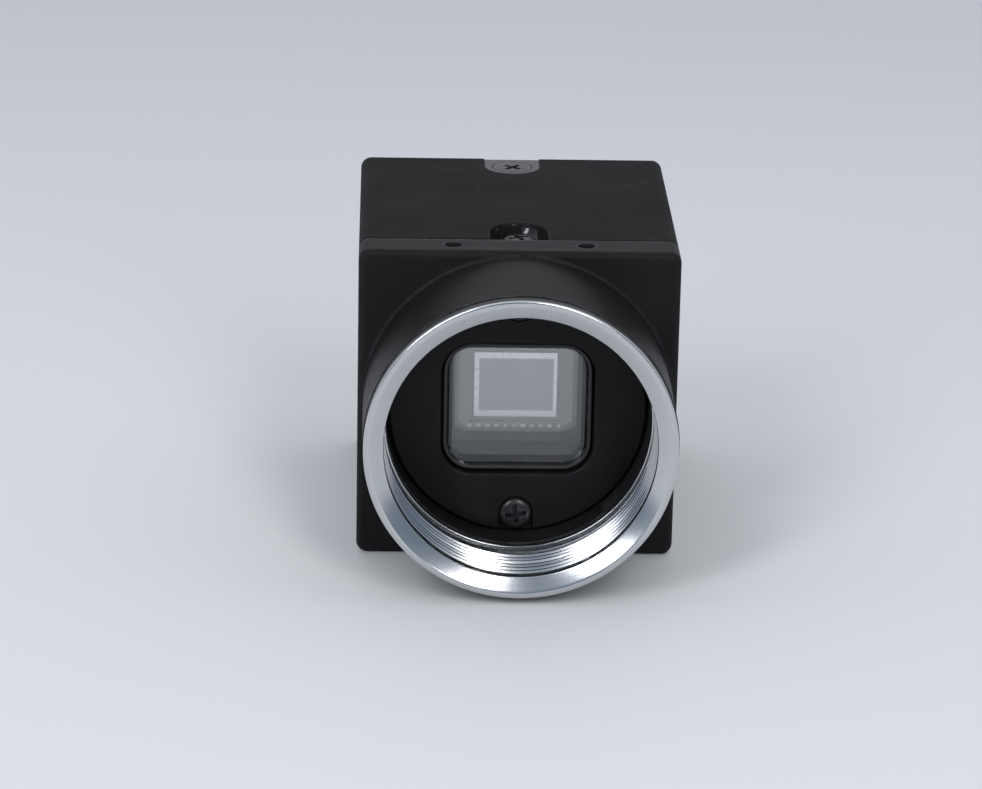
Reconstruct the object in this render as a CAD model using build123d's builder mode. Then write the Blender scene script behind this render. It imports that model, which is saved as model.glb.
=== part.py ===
from build123d import *
import os

# Machine vision camera: a 29 mm square cast body with a C-mount ring in front and a
# round 12-pin connector, gain trimmer and setting switches at the rear. Millimetres.
# +X is to the right seen from the front, -Y is out of the lens mount and +Z is up. The
# origin is on the base plane, at the middle of the whole camera's length and width.

# Body
body_width = 29.0
body_height = 29.0
body_depth = 30.6
corner_radius = 1.0
core_corner = 0.5
front_edge_radius = 0.6
ledge_depth = 3.75
seam_gap = 0.35
cover_wall = 0.8
cover_edge_break = 0.15
panel_inset = 0.2

# Clearances
slide_clearance = 0.05
thread_clearance = 0.02
seat_clearance = 0.15

# Lens mount
mount_projection = 12.4
flange_focal_distance = 17.526
thread_crest_radius = 12.35
thread_lead = 0.3
ring_flange = 1.25
ring_edge_radius = 0.35
ring_sleeve_wall = 0.85
ring_length = 8.6
ring_lip_radius = 12.0
ring_lip_length = 0.8
relief_width = 0.5
relief_depth = 0.3
boss_wall = 0.75
ring_step = 0.1
boss_blend = 0.3
well_radius = 11.9

# Auxiliary mounting holes on the ledge, top and bottom
ledge_hole_spacing = 12.0
ledge_hole_radius = 0.8
ledge_hole_depth = 3.2
ledge_hole_setback = 2.2

# Sensor holder, filter and seal
holder_proud = 1.2
holder_thickness = 1.5
holder_gap = 0.25
holder_edge_radius = 0.2
holder_notch_depth = 0.4
holder_box_wall = 1.3
holder_screw_offset = 9.93
window_width = 13.8
window_height = 12.35
window_corner = 2.8
window_edge_radius = 0.25
seal_wall = 0.4
seal_proud = 0.55
seal_edge_radius = 0.15
filter_thickness = 1.0
filter_edge_break = 0.15
filter_land = 0.45
glass_index = 1.52

# Image sensor
package_width = 14.4
package_height = 12.4
package_lip = 0.9
package_base = 1.3
package_edge_break = 0.2
cavity_width = 10.4
cavity_height = 9.0
cavity_bevel = 1.1
die_width = 7.6
die_height = 6.2
die_thickness = 0.5
die_margin = 0.5
package_glass_width = 11.2
package_glass_height = 9.8
package_glass_thickness = 0.7
pin_pitch = 1.27
pins_per_row = 10
pin_width = 0.4
pin_inset = 0.7
pin_hole_radius = 0.35

# Screws
screw_shank_radius = 1.0
screw_head_radius = 1.45
screw_head_height = 0.9
screw_dome_radius = 0.35
screw_length = 2.6
recess_span = 1.9
recess_slot = 0.42
recess_depth = 0.5
recess_taper = 12
stack_screw_radius = 0.8
stack_head_height = 0.9

# Screw pockets pressed into the cover
pocket_width = 5.2
pocket_reach = 2.55
pocket_depth = 1.55
pocket_floor = 0.6
pocket_wall = 0.6
pocket_rim_radius = 0.12

# Spigot, screw bridges and posts behind the front face
spigot_length = 7.0
spigot_wall = 1.5
bridge_width = 9.0
bridge_depth = 2.3
bridge_wall = 0.4
post_radius = 1.6
post_bite = 0.3
stack_thread_depth = 3.2

# Circuit boards
board_margin = 0.2
board_thickness = 0.8
board_corner = 0.8
board_standoff = 0.8
board_spacing = 5.2
chip_width = 12.0
chip_thickness = 1.2
driver_width = 6.0
driver_height = 4.0
driver_thickness = 0.9
header_length = 10.0
header_width = 2.4

# Rear panel
panel_thickness = 1.4
connector_projection = 7.0
connector_inner_length = 6.0
connector_radius = 5.8
connector_flange_radius = 6.8
connector_flange = 1.2
connector_socket_radius = 5.05
connector_insert_depth = 5.0
connector_rim_radius = 0.25
connector_nut_flats = 13.6
connector_nut_thickness = 2.0
connector_nut_rim = 0.4
key_width = 1.6
key_height = 0.5
contact_radius = 0.35
contact_length = 4.0
outer_contact_count = 9
outer_circle_radius = 3.5
inner_contact_count = 3
inner_circle_radius = 1.3

# Setting switches and gain trimmer
control_margin = 0.3
control_recess = 0.4
switch_board_setback = 3.4
switch_count = 10
switch_pitch = 1.27
switch_body_end = 0.75
switch_body_height = 5.4
switch_lid = 0.8
switch_foot = 0.6
switch_foot_overhang = 0.5
switch_knob_width = 0.8
switch_knob_height = 1.1
switch_knob_proud = 0.25
switch_travel = 1.0
side_control_inset = 3.05
side_switch_width = 3.4
side_switch_body_height = 6.4
side_switch_spacing = 8.0
side_switch_knob_width = 1.1
side_switch_knob_height = 1.6
side_switch_travel = 1.6
trimmer_body = 4.2
trimmer_radius = 1.5
trimmer_depth = 1.4
trimmer_slot = 0.5
trimmer_slot_depth = 0.6
board_screw_radius = 0.6
board_screw_head = 1.1
switch_post_radius = 1.3
switch_post_rise = 4.3
arm_width = 4.3

# Places along the optical axis, from the mount's face to the connector's rim
axis_height = body_height / 2
overall_depth = mount_projection + body_depth + connector_projection
mount_face = -overall_depth / 2
body_front = mount_face + mount_projection
body_rear = body_front + body_depth
ring_seat = mount_face + ring_flange
ring_rear = mount_face + ring_length
ledge_rear = body_front + ledge_depth
cover_front = ledge_rear + seam_gap
cover_length = body_rear - cover_front
spigot_rear = ledge_rear + spigot_length
holder_front = body_front - holder_proud
holder_seat = holder_front + holder_thickness
glass_shift = (filter_thickness + package_glass_thickness) * (1 - 1 / glass_index)
sensor_plane = mount_face + flange_focal_distance + glass_shift
package_front = sensor_plane - package_lip
package_rear = sensor_plane + die_thickness + package_base
sensor_board_front = package_rear + board_standoff
board_pitch = board_thickness + board_spacing
process_board_front = sensor_board_front + board_pitch
io_board_front = process_board_front + board_pitch
io_board_rear = io_board_front + board_thickness
panel_rear = body_rear - panel_inset
panel_front = panel_rear - panel_thickness
connector_rear = body_rear + connector_projection
connector_front = panel_front - connector_inner_length
insert_face = connector_rear - connector_insert_depth
control_face = panel_rear - control_recess
switch_board_rear = panel_front - switch_board_setback
switch_board_front = switch_board_rear - board_thickness

# Sizes of what slides into or seats on another piece
core_width = body_width - 2 * cover_wall - 2 * slide_clearance
core_height = body_height - 2 * cover_wall - 2 * slide_clearance
ring_sleeve_radius = thread_crest_radius + ring_sleeve_wall
boss_radius = ring_sleeve_radius + slide_clearance + boss_wall
ring_radius = boss_radius - ring_step
holder_radius = well_radius - holder_gap
holder_box_width = window_width + 2 * holder_box_wall
holder_box_height = window_height + 2 * holder_box_wall
seal_width = window_width - 2 * seat_clearance
seal_height = window_height - 2 * seat_clearance
seal_corner = window_corner - seat_clearance
glass_front = holder_front + holder_proud
glass_rear = glass_front + filter_thickness
filter_width = seal_width - 2 * (seal_wall + thread_clearance)
filter_height = seal_height - 2 * (seal_wall + thread_clearance)
filter_corner = seal_corner - seal_wall - thread_clearance
pocket_radius = pocket_width / 2
dish_radius = pocket_radius + pocket_wall
slot_radius = dish_radius + slide_clearance
screw_floor = body_height - pocket_depth
bridge_top = screw_floor - pocket_floor - slide_clearance
bridge_base = bridge_top - bridge_depth
bridge_centre = bridge_top - bridge_depth / 2 - axis_height
board_width = core_width - 2 * spigot_wall - 2 * board_margin
board_height = 2 * (bridge_base - axis_height - board_margin)
post_x = core_width / 2 - spigot_wall - post_radius + post_bite
post_z = board_height / 2 - post_radius
spacer_radius = post_radius - post_bite - slide_clearance
connector_height = bridge_base - connector_flange_radius - slide_clearance
control_height = body_height - bridge_base + control_margin + switch_body_height / 2
switch_body_width = switch_count * switch_pitch + 2 * switch_body_end
side_control_offset = core_width / 2 - side_control_inset
pin_row_offset = package_height / 2 - pin_inset
front_pocket_y = cover_front + pocket_reach
rear_pocket_y = body_rear - pocket_reach
bridge_rear = front_pocket_y + screw_shank_radius + bridge_wall
block_front = rear_pocket_y - screw_shank_radius - bridge_wall
stack_places = [(x, z) for x in (-post_x, post_x) for z in (-post_z, post_z)]
side_switch_low = control_height + (side_switch_body_height - switch_body_height) / 2
left_arm_top = control_height + switch_post_rise + switch_post_radius
right_arm_top = (side_switch_low + side_switch_spacing + side_switch_body_height / 2
                 + 2 * switch_post_radius)
strip_base = control_height - switch_body_height / 2
switch_posts = [
    (-side_control_offset, left_arm_top - switch_post_radius),
    (side_control_offset, right_arm_top - switch_post_radius),
]


def across(y, height=axis_height):
    """Plane square to the optical axis at depth y, facing forwards, its centre at height."""
    return Plane(origin=(0, y, height), x_dir=(1, 0, 0), z_dir=(0, -1, 0))


def along(height=axis_height):
    """Plane that holds a lengthwise axis: its x runs rearwards and its y is the radius."""
    return Plane(origin=(0, 0, height), x_dir=(0, 1, 0), z_dir=(1, 0, 0))


def level(height):
    """Level plane that faces up, at a height over the base."""
    return Plane.XY.offset(height)


def tongue(radius, round_y, edge_y):
    """Draw a tongue: a half-round end at round_y that runs, at full width, out to edge_y."""
    end_y = round_y - radius if edge_y > round_y else round_y + radius
    with BuildLine() as outline:
        Polyline((radius, round_y), (radius, edge_y), (-radius, edge_y), (-radius, round_y))
        ThreePointArc((-radius, round_y), (0, end_y), (radius, round_y))
    make_face(outline.edges())


def cross_head_screw(shank_radius, shank_length, head_radius, head_height, span, turn=0):
    """One pan-head screw on its seat at the origin: head up, shank down, cross in the head."""
    with BuildPart() as screw:
        with BuildSketch():
            Circle(head_radius)
        extrude(amount=head_height)
        fillet(screw.edges().sort_by(Axis.Z)[-1], radius=screw_dome_radius)
        with BuildSketch():
            Circle(shank_radius)
        extrude(amount=-shank_length)
        for angle in (turn, turn + 90):
            with BuildSketch(Plane.XY.offset(head_height)):
                Rectangle(span, recess_slot, rotation=angle)
            extrude(amount=-recess_depth, taper=recess_taper, mode=Mode.SUBTRACT)
    return screw.part


def save(piece, name):
    """Name a finished piece and write it as its own file."""
    piece.label = name
    export_step(piece, f"parts/{name}.step")


os.makedirs("parts", exist_ok=True)

# Front frame: the casting that carries everything. Its square ledge is the camera's front,
# the round boss takes the mount ring, and the cover slides over the spigot behind.
with BuildPart() as front_frame:
    with BuildSketch(across(ledge_rear)):
        RectangleRounded(body_width, body_height, corner_radius)
    extrude(amount=ledge_depth)
    fillet(front_frame.faces().sort_by(Axis.Y)[0].edges(), radius=front_edge_radius)
    with BuildSketch(along()):
        with BuildLine():
            Polyline((ring_seat, 0), (ring_seat, boss_radius),
                     (body_front - boss_blend, boss_radius))
            RadiusArc((body_front - boss_blend, boss_radius),
                      (body_front, boss_radius + boss_blend), -boss_blend)
            Polyline((body_front, boss_radius + boss_blend),
                     (body_front + front_edge_radius, boss_radius + boss_blend),
                     (body_front + front_edge_radius, 0), (ring_seat, 0))
        make_face()
    revolve(axis=Axis((0, 0, axis_height), (0, 1, 0)))
    with BuildSketch(across(spigot_rear)):
        RectangleRounded(core_width, core_height, core_corner)
        Rectangle(core_width - 2 * spigot_wall, core_height - 2 * spigot_wall,
                  mode=Mode.SUBTRACT)
    extrude(amount=spigot_length)
    with BuildSketch(across(bridge_rear)):
        with Locations((0, bridge_centre), (0, -bridge_centre)):
            Rectangle(bridge_width, bridge_depth)
    extrude(amount=bridge_rear - ledge_rear)
    with BuildSketch(across(sensor_board_front)):
        with Locations(*stack_places):
            Circle(post_radius)
    extrude(amount=sensor_board_front - ledge_rear)
    # Slots where the cover's front pockets slide in
    for slot_base, slot_height in ((bridge_top, body_height), (0, body_height - bridge_top)):
        with BuildSketch(level(slot_base)):
            with Locations((0, (ledge_rear + spigot_rear) / 2)):
                Rectangle(2 * slot_radius, spigot_length)
        extrude(amount=slot_height - slot_base, mode=Mode.SUBTRACT)
    # Bore for the mount ring's sleeve, the black well behind it and the holder's opening
    with BuildSketch(across(ring_rear)):
        Circle(ring_sleeve_radius + slide_clearance)
    extrude(amount=ring_rear - ring_seat, mode=Mode.SUBTRACT)
    with BuildSketch(across(holder_seat)):
        Circle(well_radius)
    extrude(amount=holder_seat - ring_rear, mode=Mode.SUBTRACT)
    with BuildSketch(across(ledge_rear)):
        Rectangle(holder_box_width + 2 * slide_clearance, holder_box_height + 2 * slide_clearance)
    extrude(amount=ledge_rear - holder_seat, mode=Mode.SUBTRACT)
    # Threaded holes: ledge holes, holder screws, board stack and cover screws
    for base, direction in ((body_height, -1), (0, 1)):
        with BuildSketch(level(base)):
            with Locations((0, body_front + ledge_hole_setback)):
                with GridLocations(ledge_hole_spacing, 0, 2, 1):
                    Circle(ledge_hole_radius)
        extrude(amount=direction * ledge_hole_depth, mode=Mode.SUBTRACT)
        with BuildSketch(level(base)):
            with Locations((0, front_pocket_y)):
                Circle(screw_shank_radius + thread_clearance)
        extrude(amount=direction * (pocket_depth + screw_length + seat_clearance),
                mode=Mode.SUBTRACT)
    with BuildSketch(across(holder_seat)):
        with Locations((0, holder_screw_offset), (0, -holder_screw_offset)):
            Circle(screw_shank_radius + thread_clearance)
    extrude(amount=-screw_length, mode=Mode.SUBTRACT)
    with BuildSketch(across(sensor_board_front)):
        with Locations(*stack_places):
            Circle(stack_screw_radius + thread_clearance)
    extrude(amount=stack_thread_depth + seat_clearance, mode=Mode.SUBTRACT)
save(front_frame.part, "front_frame")

# Lens mount ring: turned aluminium, with a flange on the boss and a sleeve in its bore.
# Its bore is at the thread's crests, between a lead-in and a relief groove with a lip.
relief_front = ring_rear - ring_lip_length - relief_width
relief_radius = thread_crest_radius + relief_depth
with BuildPart() as lens_mount_ring:
    with BuildSketch(along()):
        with BuildLine():
            Polyline((mount_face, ring_radius - ring_edge_radius),
                     (mount_face, thread_crest_radius + thread_lead),
                     (mount_face + thread_lead, thread_crest_radius),
                     (relief_front, thread_crest_radius),
                     (relief_front, relief_radius),
                     (relief_front + relief_width, relief_radius),
                     (relief_front + relief_width, ring_lip_radius),
                     (ring_rear, ring_lip_radius),
                     (ring_rear, ring_sleeve_radius),
                     (ring_seat, ring_sleeve_radius),
                     (ring_seat, ring_radius),
                     (mount_face + ring_edge_radius, ring_radius))
            RadiusArc((mount_face + ring_edge_radius, ring_radius),
                      (mount_face, ring_radius - ring_edge_radius), -ring_edge_radius)
        make_face()
    revolve(axis=Axis((0, 0, axis_height), (0, 1, 0)))
save(lens_mount_ring.part, "lens_mount_ring")

# Sensor holder: a disc at the bottom of the well with a box behind it, open through the
# middle. The filter sits on the land in its window, and two screws fix it from the front.
aperture_width = filter_width - 2 * filter_land
aperture_height = filter_height - 2 * filter_land
notch_radius = screw_head_radius + seat_clearance
notch_floor = holder_front + holder_notch_depth
with BuildPart() as sensor_holder:
    with BuildSketch(across(holder_seat)):
        Circle(holder_radius)
    extrude(amount=holder_thickness)
    fillet(sensor_holder.faces().sort_by(Axis.Y)[0].edges(), radius=holder_edge_radius)
    with BuildSketch(across(package_front)):
        Rectangle(holder_box_width, holder_box_height)
    extrude(amount=package_front - holder_seat)
    with BuildSketch(across(holder_front)):
        RectangleRounded(window_width, window_height, window_corner)
    extrude(amount=-(glass_rear - holder_front), mode=Mode.SUBTRACT)
    window_rim = sensor_holder.faces().sort_by(Axis.Y)[0].inner_wires()[0].edges()
    fillet(window_rim, radius=window_edge_radius)
    with BuildSketch(across(glass_rear)):
        Rectangle(aperture_width, aperture_height)
    extrude(amount=-(package_front - glass_rear), mode=Mode.SUBTRACT)
    with BuildSketch(across(notch_floor)):
        with Locations((0, holder_screw_offset), (0, -holder_screw_offset)):
            Circle(notch_radius)
        with Locations((0, holder_radius), (0, -holder_radius)):
            Rectangle(2 * notch_radius, 2 * (holder_radius - holder_screw_offset))
    extrude(amount=notch_floor - holder_front, mode=Mode.SUBTRACT)
    with BuildSketch(across(holder_seat)):
        with Locations((0, holder_screw_offset), (0, -holder_screw_offset)):
            Circle(screw_shank_radius + slide_clearance)
    extrude(amount=holder_seat - notch_floor, mode=Mode.SUBTRACT)
save(sensor_holder.part, "sensor_holder")

# Holder screws: two black pan heads in the disc's notches
with BuildPart() as holder_screws:
    with Locations(across(notch_floor)):
        with Locations((0, holder_screw_offset, 0), (0, -holder_screw_offset, 0)):
            add(cross_head_screw(screw_shank_radius, screw_length, screw_head_radius,
                                 screw_head_height, recess_span, turn=8))
save(holder_screws.part, "holder_screws")

# Window seal: a soft frame round the filter, standing a little proud of it
with BuildPart() as window_seal:
    with BuildSketch(across(glass_rear)):
        RectangleRounded(seal_width, seal_height, seal_corner)
        RectangleRounded(seal_width - 2 * seal_wall, seal_height - 2 * seal_wall,
                         seal_corner - seal_wall, mode=Mode.SUBTRACT)
    extrude(amount=filter_thickness + seal_proud)
    fillet(window_seal.faces().sort_by(Axis.Y)[0].edges(), radius=seal_edge_radius)
save(window_seal.part, "window_seal")

# Filter glass: it lies on the holder's land inside the seal
with BuildPart() as filter_glass:
    with BuildSketch(across(glass_rear)):
        RectangleRounded(filter_width, filter_height, filter_corner)
    extrude(amount=filter_thickness)
    chamfer(filter_glass.faces().sort_by(Axis.Y)[0].edges(), length=filter_edge_break)
save(filter_glass.part, "filter_glass")

# Sensor package: a ceramic tray with a bond shelf all round the die's well. The two lower
# corners of its opening are bevelled.
shelf_y = sensor_plane
well_floor = sensor_plane + die_thickness
with BuildPart() as sensor_package:
    with BuildSketch(across(package_rear)):
        Rectangle(package_width, package_height)
    extrude(amount=package_rear - package_front)
    chamfer(sensor_package.edges().filter_by(Axis.Y), length=package_edge_break)
    with BuildSketch(across(package_front)):
        with BuildLine():
            Polyline((-cavity_width / 2, cavity_height / 2),
                     (-cavity_width / 2, cavity_bevel - cavity_height / 2),
                     (cavity_bevel - cavity_width / 2, -cavity_height / 2),
                     (cavity_width / 2 - cavity_bevel, -cavity_height / 2),
                     (cavity_width / 2, cavity_bevel - cavity_height / 2),
                     (cavity_width / 2, cavity_height / 2),
                     (-cavity_width / 2, cavity_height / 2))
        make_face()
    extrude(amount=-(shelf_y - package_front), mode=Mode.SUBTRACT)
    with BuildSketch(across(shelf_y)):
        Rectangle(die_width + 2 * die_margin, die_height + 2 * die_margin)
    extrude(amount=-(well_floor - shelf_y), mode=Mode.SUBTRACT)
save(sensor_package.part, "sensor_package")

with BuildPart() as sensor_die:
    with BuildSketch(across(well_floor)):
        Rectangle(die_width, die_height)
    extrude(amount=die_thickness)
save(sensor_die.part, "sensor_die")

with BuildPart() as package_glass:
    with BuildSketch(across(package_front)):
        Rectangle(package_glass_width, package_glass_height)
    extrude(amount=package_glass_thickness)
save(package_glass.part, "package_glass")

# Package pins: two rows that pass through the sensor board
pin_rows = 2
with BuildPart() as package_pins:
    with BuildSketch(across(package_rear)):
        with GridLocations(pin_pitch, 2 * pin_row_offset, pins_per_row, pin_rows):
            Rectangle(pin_width, pin_width)
    extrude(amount=-(board_standoff + board_thickness + pin_width))
save(package_pins.part, "package_pins")


def stack_board(y_front, name, holes=None):
    """One board of the stack, with a hole for each stack screw and for any pins given."""
    with BuildPart() as board:
        with BuildSketch(across(y_front + board_thickness)):
            RectangleRounded(board_width, board_height, board_corner)
            with Locations(*stack_places):
                Circle(stack_screw_radius + slide_clearance, mode=Mode.SUBTRACT)
            if holes:
                with holes:
                    Circle(pin_hole_radius, mode=Mode.SUBTRACT)
        extrude(amount=board_thickness)
    save(board.part, name)


stack_board(sensor_board_front, "sensor_board",
            GridLocations(pin_pitch, 2 * pin_row_offset, pins_per_row, pin_rows))
stack_board(process_board_front, "process_board")
stack_board(io_board_front, "io_board")

# Spacers between the boards, and the four long screws through the whole stack
with BuildPart() as board_spacers:
    for level_front in (process_board_front, io_board_front):
        with BuildSketch(across(level_front)):
            with Locations(*stack_places):
                Circle(spacer_radius)
                Circle(stack_screw_radius + slide_clearance, mode=Mode.SUBTRACT)
        extrude(amount=board_spacing)
save(board_spacers.part, "board_spacers")

stack_screw_length = io_board_rear - sensor_board_front + stack_thread_depth
with BuildPart() as stack_screws:
    for x, z in stack_places:
        with Locations(Plane(origin=(x, io_board_rear, axis_height + z), z_dir=(0, 1, 0))):
            add(cross_head_screw(stack_screw_radius, stack_screw_length, screw_head_radius,
                                 stack_head_height, recess_span))
save(stack_screws.part, "stack_screws")

# Plug-and-socket headers that join each board to the next, one high and one low
header_offset = board_height / 2 - header_width
with BuildPart() as board_headers:
    for level_front, z in ((process_board_front, header_offset),
                           (io_board_front, -header_offset)):
        with BuildSketch(across(level_front)):
            with Locations((0, z)):
                Rectangle(header_length, header_width)
        extrude(amount=board_spacing)
save(board_headers.part, "board_headers")

# Chips: the processor behind the middle board, and the sensor's driver pair behind its own
with BuildPart() as processor_chip:
    with BuildSketch(across(process_board_front + board_thickness + chip_thickness)):
        Rectangle(chip_width, chip_width)
    extrude(amount=chip_thickness)
    chamfer(processor_chip.faces().sort_by(Axis.Y)[-1].edges(), length=cover_edge_break)
save(processor_chip.part, "processor_chip")

with BuildPart() as driver_chips:
    with BuildSketch(across(sensor_board_front + board_thickness + driver_thickness)):
        with GridLocations(driver_width + 2 * board_margin, 0, 2, 1):
            Rectangle(driver_width, driver_height)
    extrude(amount=driver_thickness)
save(driver_chips.part, "driver_chips")

# Cover: a drawn sleeve over the spigot and the boards. At each end, top and bottom, a
# tongue-shaped pocket is pressed in and open to the edge, and a screw sits on its floor.
pockets = ((front_pocket_y, cover_front), (rear_pocket_y, body_rear))
with BuildPart() as cover:
    with BuildSketch(across(body_rear)):
        RectangleRounded(body_width, body_height, corner_radius)
    extrude(amount=cover_length)
    for end_face in (cover.faces().sort_by(Axis.Y)[0], cover.faces().sort_by(Axis.Y)[-1]):
        chamfer(end_face.edges(), length=cover_edge_break)
    with BuildSketch(across(body_rear)):
        RectangleRounded(body_width - 2 * cover_wall, body_height - 2 * cover_wall, core_corner)
    extrude(amount=cover_length, mode=Mode.SUBTRACT)
    dish_height = pocket_depth + pocket_floor - cover_wall / 2
    for round_y, edge_y in pockets:
        for dish_base in (screw_floor - pocket_floor, cover_wall / 2):
            with BuildSketch(level(dish_base)):
                tongue(dish_radius, round_y, edge_y)
            extrude(amount=dish_height)
        for cut_base in (screw_floor, 0):
            with BuildSketch(level(cut_base)):
                tongue(pocket_radius, round_y, edge_y)
            extrude(amount=pocket_depth, mode=Mode.SUBTRACT)
        with BuildSketch(level(0)):
            with Locations((0, round_y)):
                Circle(screw_shank_radius + slide_clearance)
        extrude(amount=body_height, mode=Mode.SUBTRACT)
    for outer_face in (cover.faces().sort_by(Axis.Z)[-1], cover.faces().sort_by(Axis.Z)[0]):
        rims = outer_face.edges().filter_by(GeomType.CIRCLE)
        fillet(rims, radius=pocket_rim_radius)
save(cover.part, "cover")

with BuildPart() as cover_screws:
    for round_y, edge_y in pockets:
        for height, facing in ((screw_floor, 1), (pocket_depth, -1)):
            with Locations(Plane(origin=(0, round_y, height), x_dir=(1, 0, 0),
                                 z_dir=(0, 0, facing))):
                add(cross_head_screw(screw_shank_radius, screw_length, screw_head_radius,
                                     screw_head_height, recess_span, turn=45))
save(cover_screws.part, "cover_screws")

# Rear panel: a plate inside the cover's end, with a block above and below for the rear
# cover screws and two posts for the switch board
with BuildPart() as rear_panel:
    with BuildSketch(across(panel_rear)):
        RectangleRounded(core_width, core_height, core_corner)
    extrude(amount=panel_thickness)
    with BuildSketch(across(panel_front)):
        with Locations((0, bridge_centre), (0, -bridge_centre)):
            Rectangle(bridge_width, bridge_depth)
    extrude(amount=panel_front - block_front)
    with BuildSketch(across(panel_front, 0)):
        with Locations(*switch_posts):
            Circle(switch_post_radius)
    extrude(amount=switch_board_setback)
    for slot_base, slot_height in ((bridge_top, body_height), (0, body_height - bridge_top)):
        with BuildSketch(level(slot_base)):
            with Locations((0, (panel_rear + block_front) / 2)):
                Rectangle(2 * slot_radius, panel_rear - block_front)
        extrude(amount=slot_height - slot_base, mode=Mode.SUBTRACT)
    for base, direction in ((body_height, -1), (0, 1)):
        with BuildSketch(level(base)):
            with Locations((0, rear_pocket_y)):
                Circle(screw_shank_radius + thread_clearance)
        extrude(amount=direction * (pocket_depth + screw_length + seat_clearance),
                mode=Mode.SUBTRACT)
    with BuildSketch(across(panel_front, 0)):
        with Locations((0, connector_height)):
            Circle(connector_radius + slide_clearance)
        with Locations((0, control_height)):
            Rectangle(switch_body_width + 2 * seat_clearance,
                      switch_body_height + 2 * seat_clearance)
        with Locations((-side_control_offset, control_height)):
            Rectangle(trimmer_body + 2 * seat_clearance, trimmer_body + 2 * seat_clearance)
        with Locations((side_control_offset, side_switch_low),
                       (side_control_offset, side_switch_low + side_switch_spacing)):
            Rectangle(side_switch_width + 2 * seat_clearance,
                      side_switch_body_height + 2 * seat_clearance)
    extrude(amount=-panel_thickness, mode=Mode.SUBTRACT)
    with BuildSketch(across(switch_board_rear, 0)):
        with Locations(*switch_posts):
            Circle(board_screw_radius + thread_clearance)
    extrude(amount=-switch_board_setback, mode=Mode.SUBTRACT)
save(rear_panel.part, "rear_panel")

# Connector shell: a threaded tube through the panel, with a flange inside and a key in
# its socket
connector_axis = Axis((0, 0, connector_height), (0, 1, 0))
with BuildPart() as connector_shell:
    with BuildSketch(along(connector_height)):
        with BuildLine():
            Polyline((connector_front, connector_socket_radius),
                     (connector_rear, connector_socket_radius),
                     (connector_rear, connector_radius - connector_rim_radius),
                     (connector_rear - connector_rim_radius, connector_radius),
                     (panel_front, connector_radius),
                     (panel_front, connector_flange_radius),
                     (panel_front - connector_flange, connector_flange_radius),
                     (panel_front - connector_flange, connector_radius),
                     (connector_front, connector_radius),
                     (connector_front, connector_socket_radius))
        make_face()
    revolve(axis=connector_axis)
    with BuildSketch(across(connector_rear, connector_height)):
        with Locations((0, connector_socket_radius - key_height / 2)):
            Rectangle(key_width, 2 * key_height)
    extrude(amount=connector_insert_depth)
save(connector_shell.part, "connector_shell")

with BuildPart() as connector_insert:
    with BuildSketch(across(insert_face, connector_height)):
        Circle(connector_socket_radius - thread_clearance)
        with PolarLocations(outer_circle_radius, outer_contact_count):
            Circle(contact_radius + thread_clearance, mode=Mode.SUBTRACT)
        with PolarLocations(inner_circle_radius, inner_contact_count):
            Circle(contact_radius + thread_clearance, mode=Mode.SUBTRACT)
    extrude(amount=insert_face - connector_front)
save(connector_insert.part, "connector_insert")

# Contacts: nine round the outside and three inside, back to the connector's own board
with BuildPart() as connector_contacts:
    with BuildSketch(across(insert_face + contact_length, connector_height)):
        with PolarLocations(outer_circle_radius, outer_contact_count):
            Circle(contact_radius)
        with PolarLocations(inner_circle_radius, inner_contact_count):
            Circle(contact_radius)
    extrude(amount=insert_face + contact_length - io_board_rear)
    fillet(connector_contacts.faces().group_by(Axis.Y)[-1].edges(), radius=contact_radius / 2)
save(connector_contacts.part, "connector_contacts")

nut_rear = panel_rear + connector_nut_thickness
nut_rim_radius = connector_nut_flats / 2 + connector_nut_rim
with BuildPart() as connector_nut:
    with BuildSketch(across(nut_rear, connector_height)):
        RegularPolygon(connector_nut_flats / 2, 6, major_radius=False)
        Circle(connector_radius + thread_clearance, mode=Mode.SUBTRACT)
    extrude(amount=connector_nut_thickness)
    with BuildSketch(along(connector_height)):
        with BuildLine():
            Polyline((panel_rear, 0), (panel_rear, nut_rim_radius + connector_nut_thickness),
                     (nut_rear, nut_rim_radius),
                     (nut_rear, 0), close=True)
        make_face()
    revolve(axis=Axis((0, 0, connector_height), (0, 1, 0)), mode=Mode.INTERSECT)
save(connector_nut.part, "connector_nut")


def slide_bank(name, centre, body_size, places, knob_size, travel):
    """Switch body with one slot and one sliding knob for each place, knobs at the low end.

    The knob's foot is longer than the slot in the lid, so the lid holds it in.
    """
    x, z = centre
    knob_width, knob_height = knob_size
    lid_front = control_face - switch_lid
    foot_height = knob_height + 2 * switch_foot_overhang
    slot_span = knob_height + travel + 2 * slide_clearance
    cavity_span = foot_height + travel + 2 * slide_clearance
    with BuildPart() as body:
        with BuildSketch(across(control_face, z)):
            with Locations((x, 0)):
                Rectangle(*body_size)
        extrude(amount=control_face - switch_board_rear)
        with BuildSketch(across(control_face, z)):
            with Locations(*[(x + place, 0) for place in places]):
                Rectangle(knob_width + 2 * slide_clearance, slot_span)
        extrude(amount=switch_lid, mode=Mode.SUBTRACT)
        with BuildSketch(across(lid_front, z)):
            with Locations(*[(x + place, 0) for place in places]):
                Rectangle(knob_width + 2 * slide_clearance, cavity_span)
        extrude(amount=switch_foot + 2 * slide_clearance, mode=Mode.SUBTRACT)
    save(body.part, f"{name}_body")
    rest = -travel / 2
    for number, place in enumerate(places, start=1):
        with BuildPart() as knob:
            with BuildSketch(across(lid_front - slide_clearance, z)):
                with Locations((x + place, rest)):
                    Rectangle(knob_width, foot_height)
            extrude(amount=switch_foot)
            with BuildSketch(across(control_face + switch_knob_proud, z)):
                with Locations((x + place, rest)):
                    Rectangle(knob_width, knob_height)
            extrude(amount=switch_lid + switch_knob_proud + slide_clearance)
        suffix = f"_{number}" if len(places) > 1 else ""
        save(knob.part, f"{name}_slider{suffix}")


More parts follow.
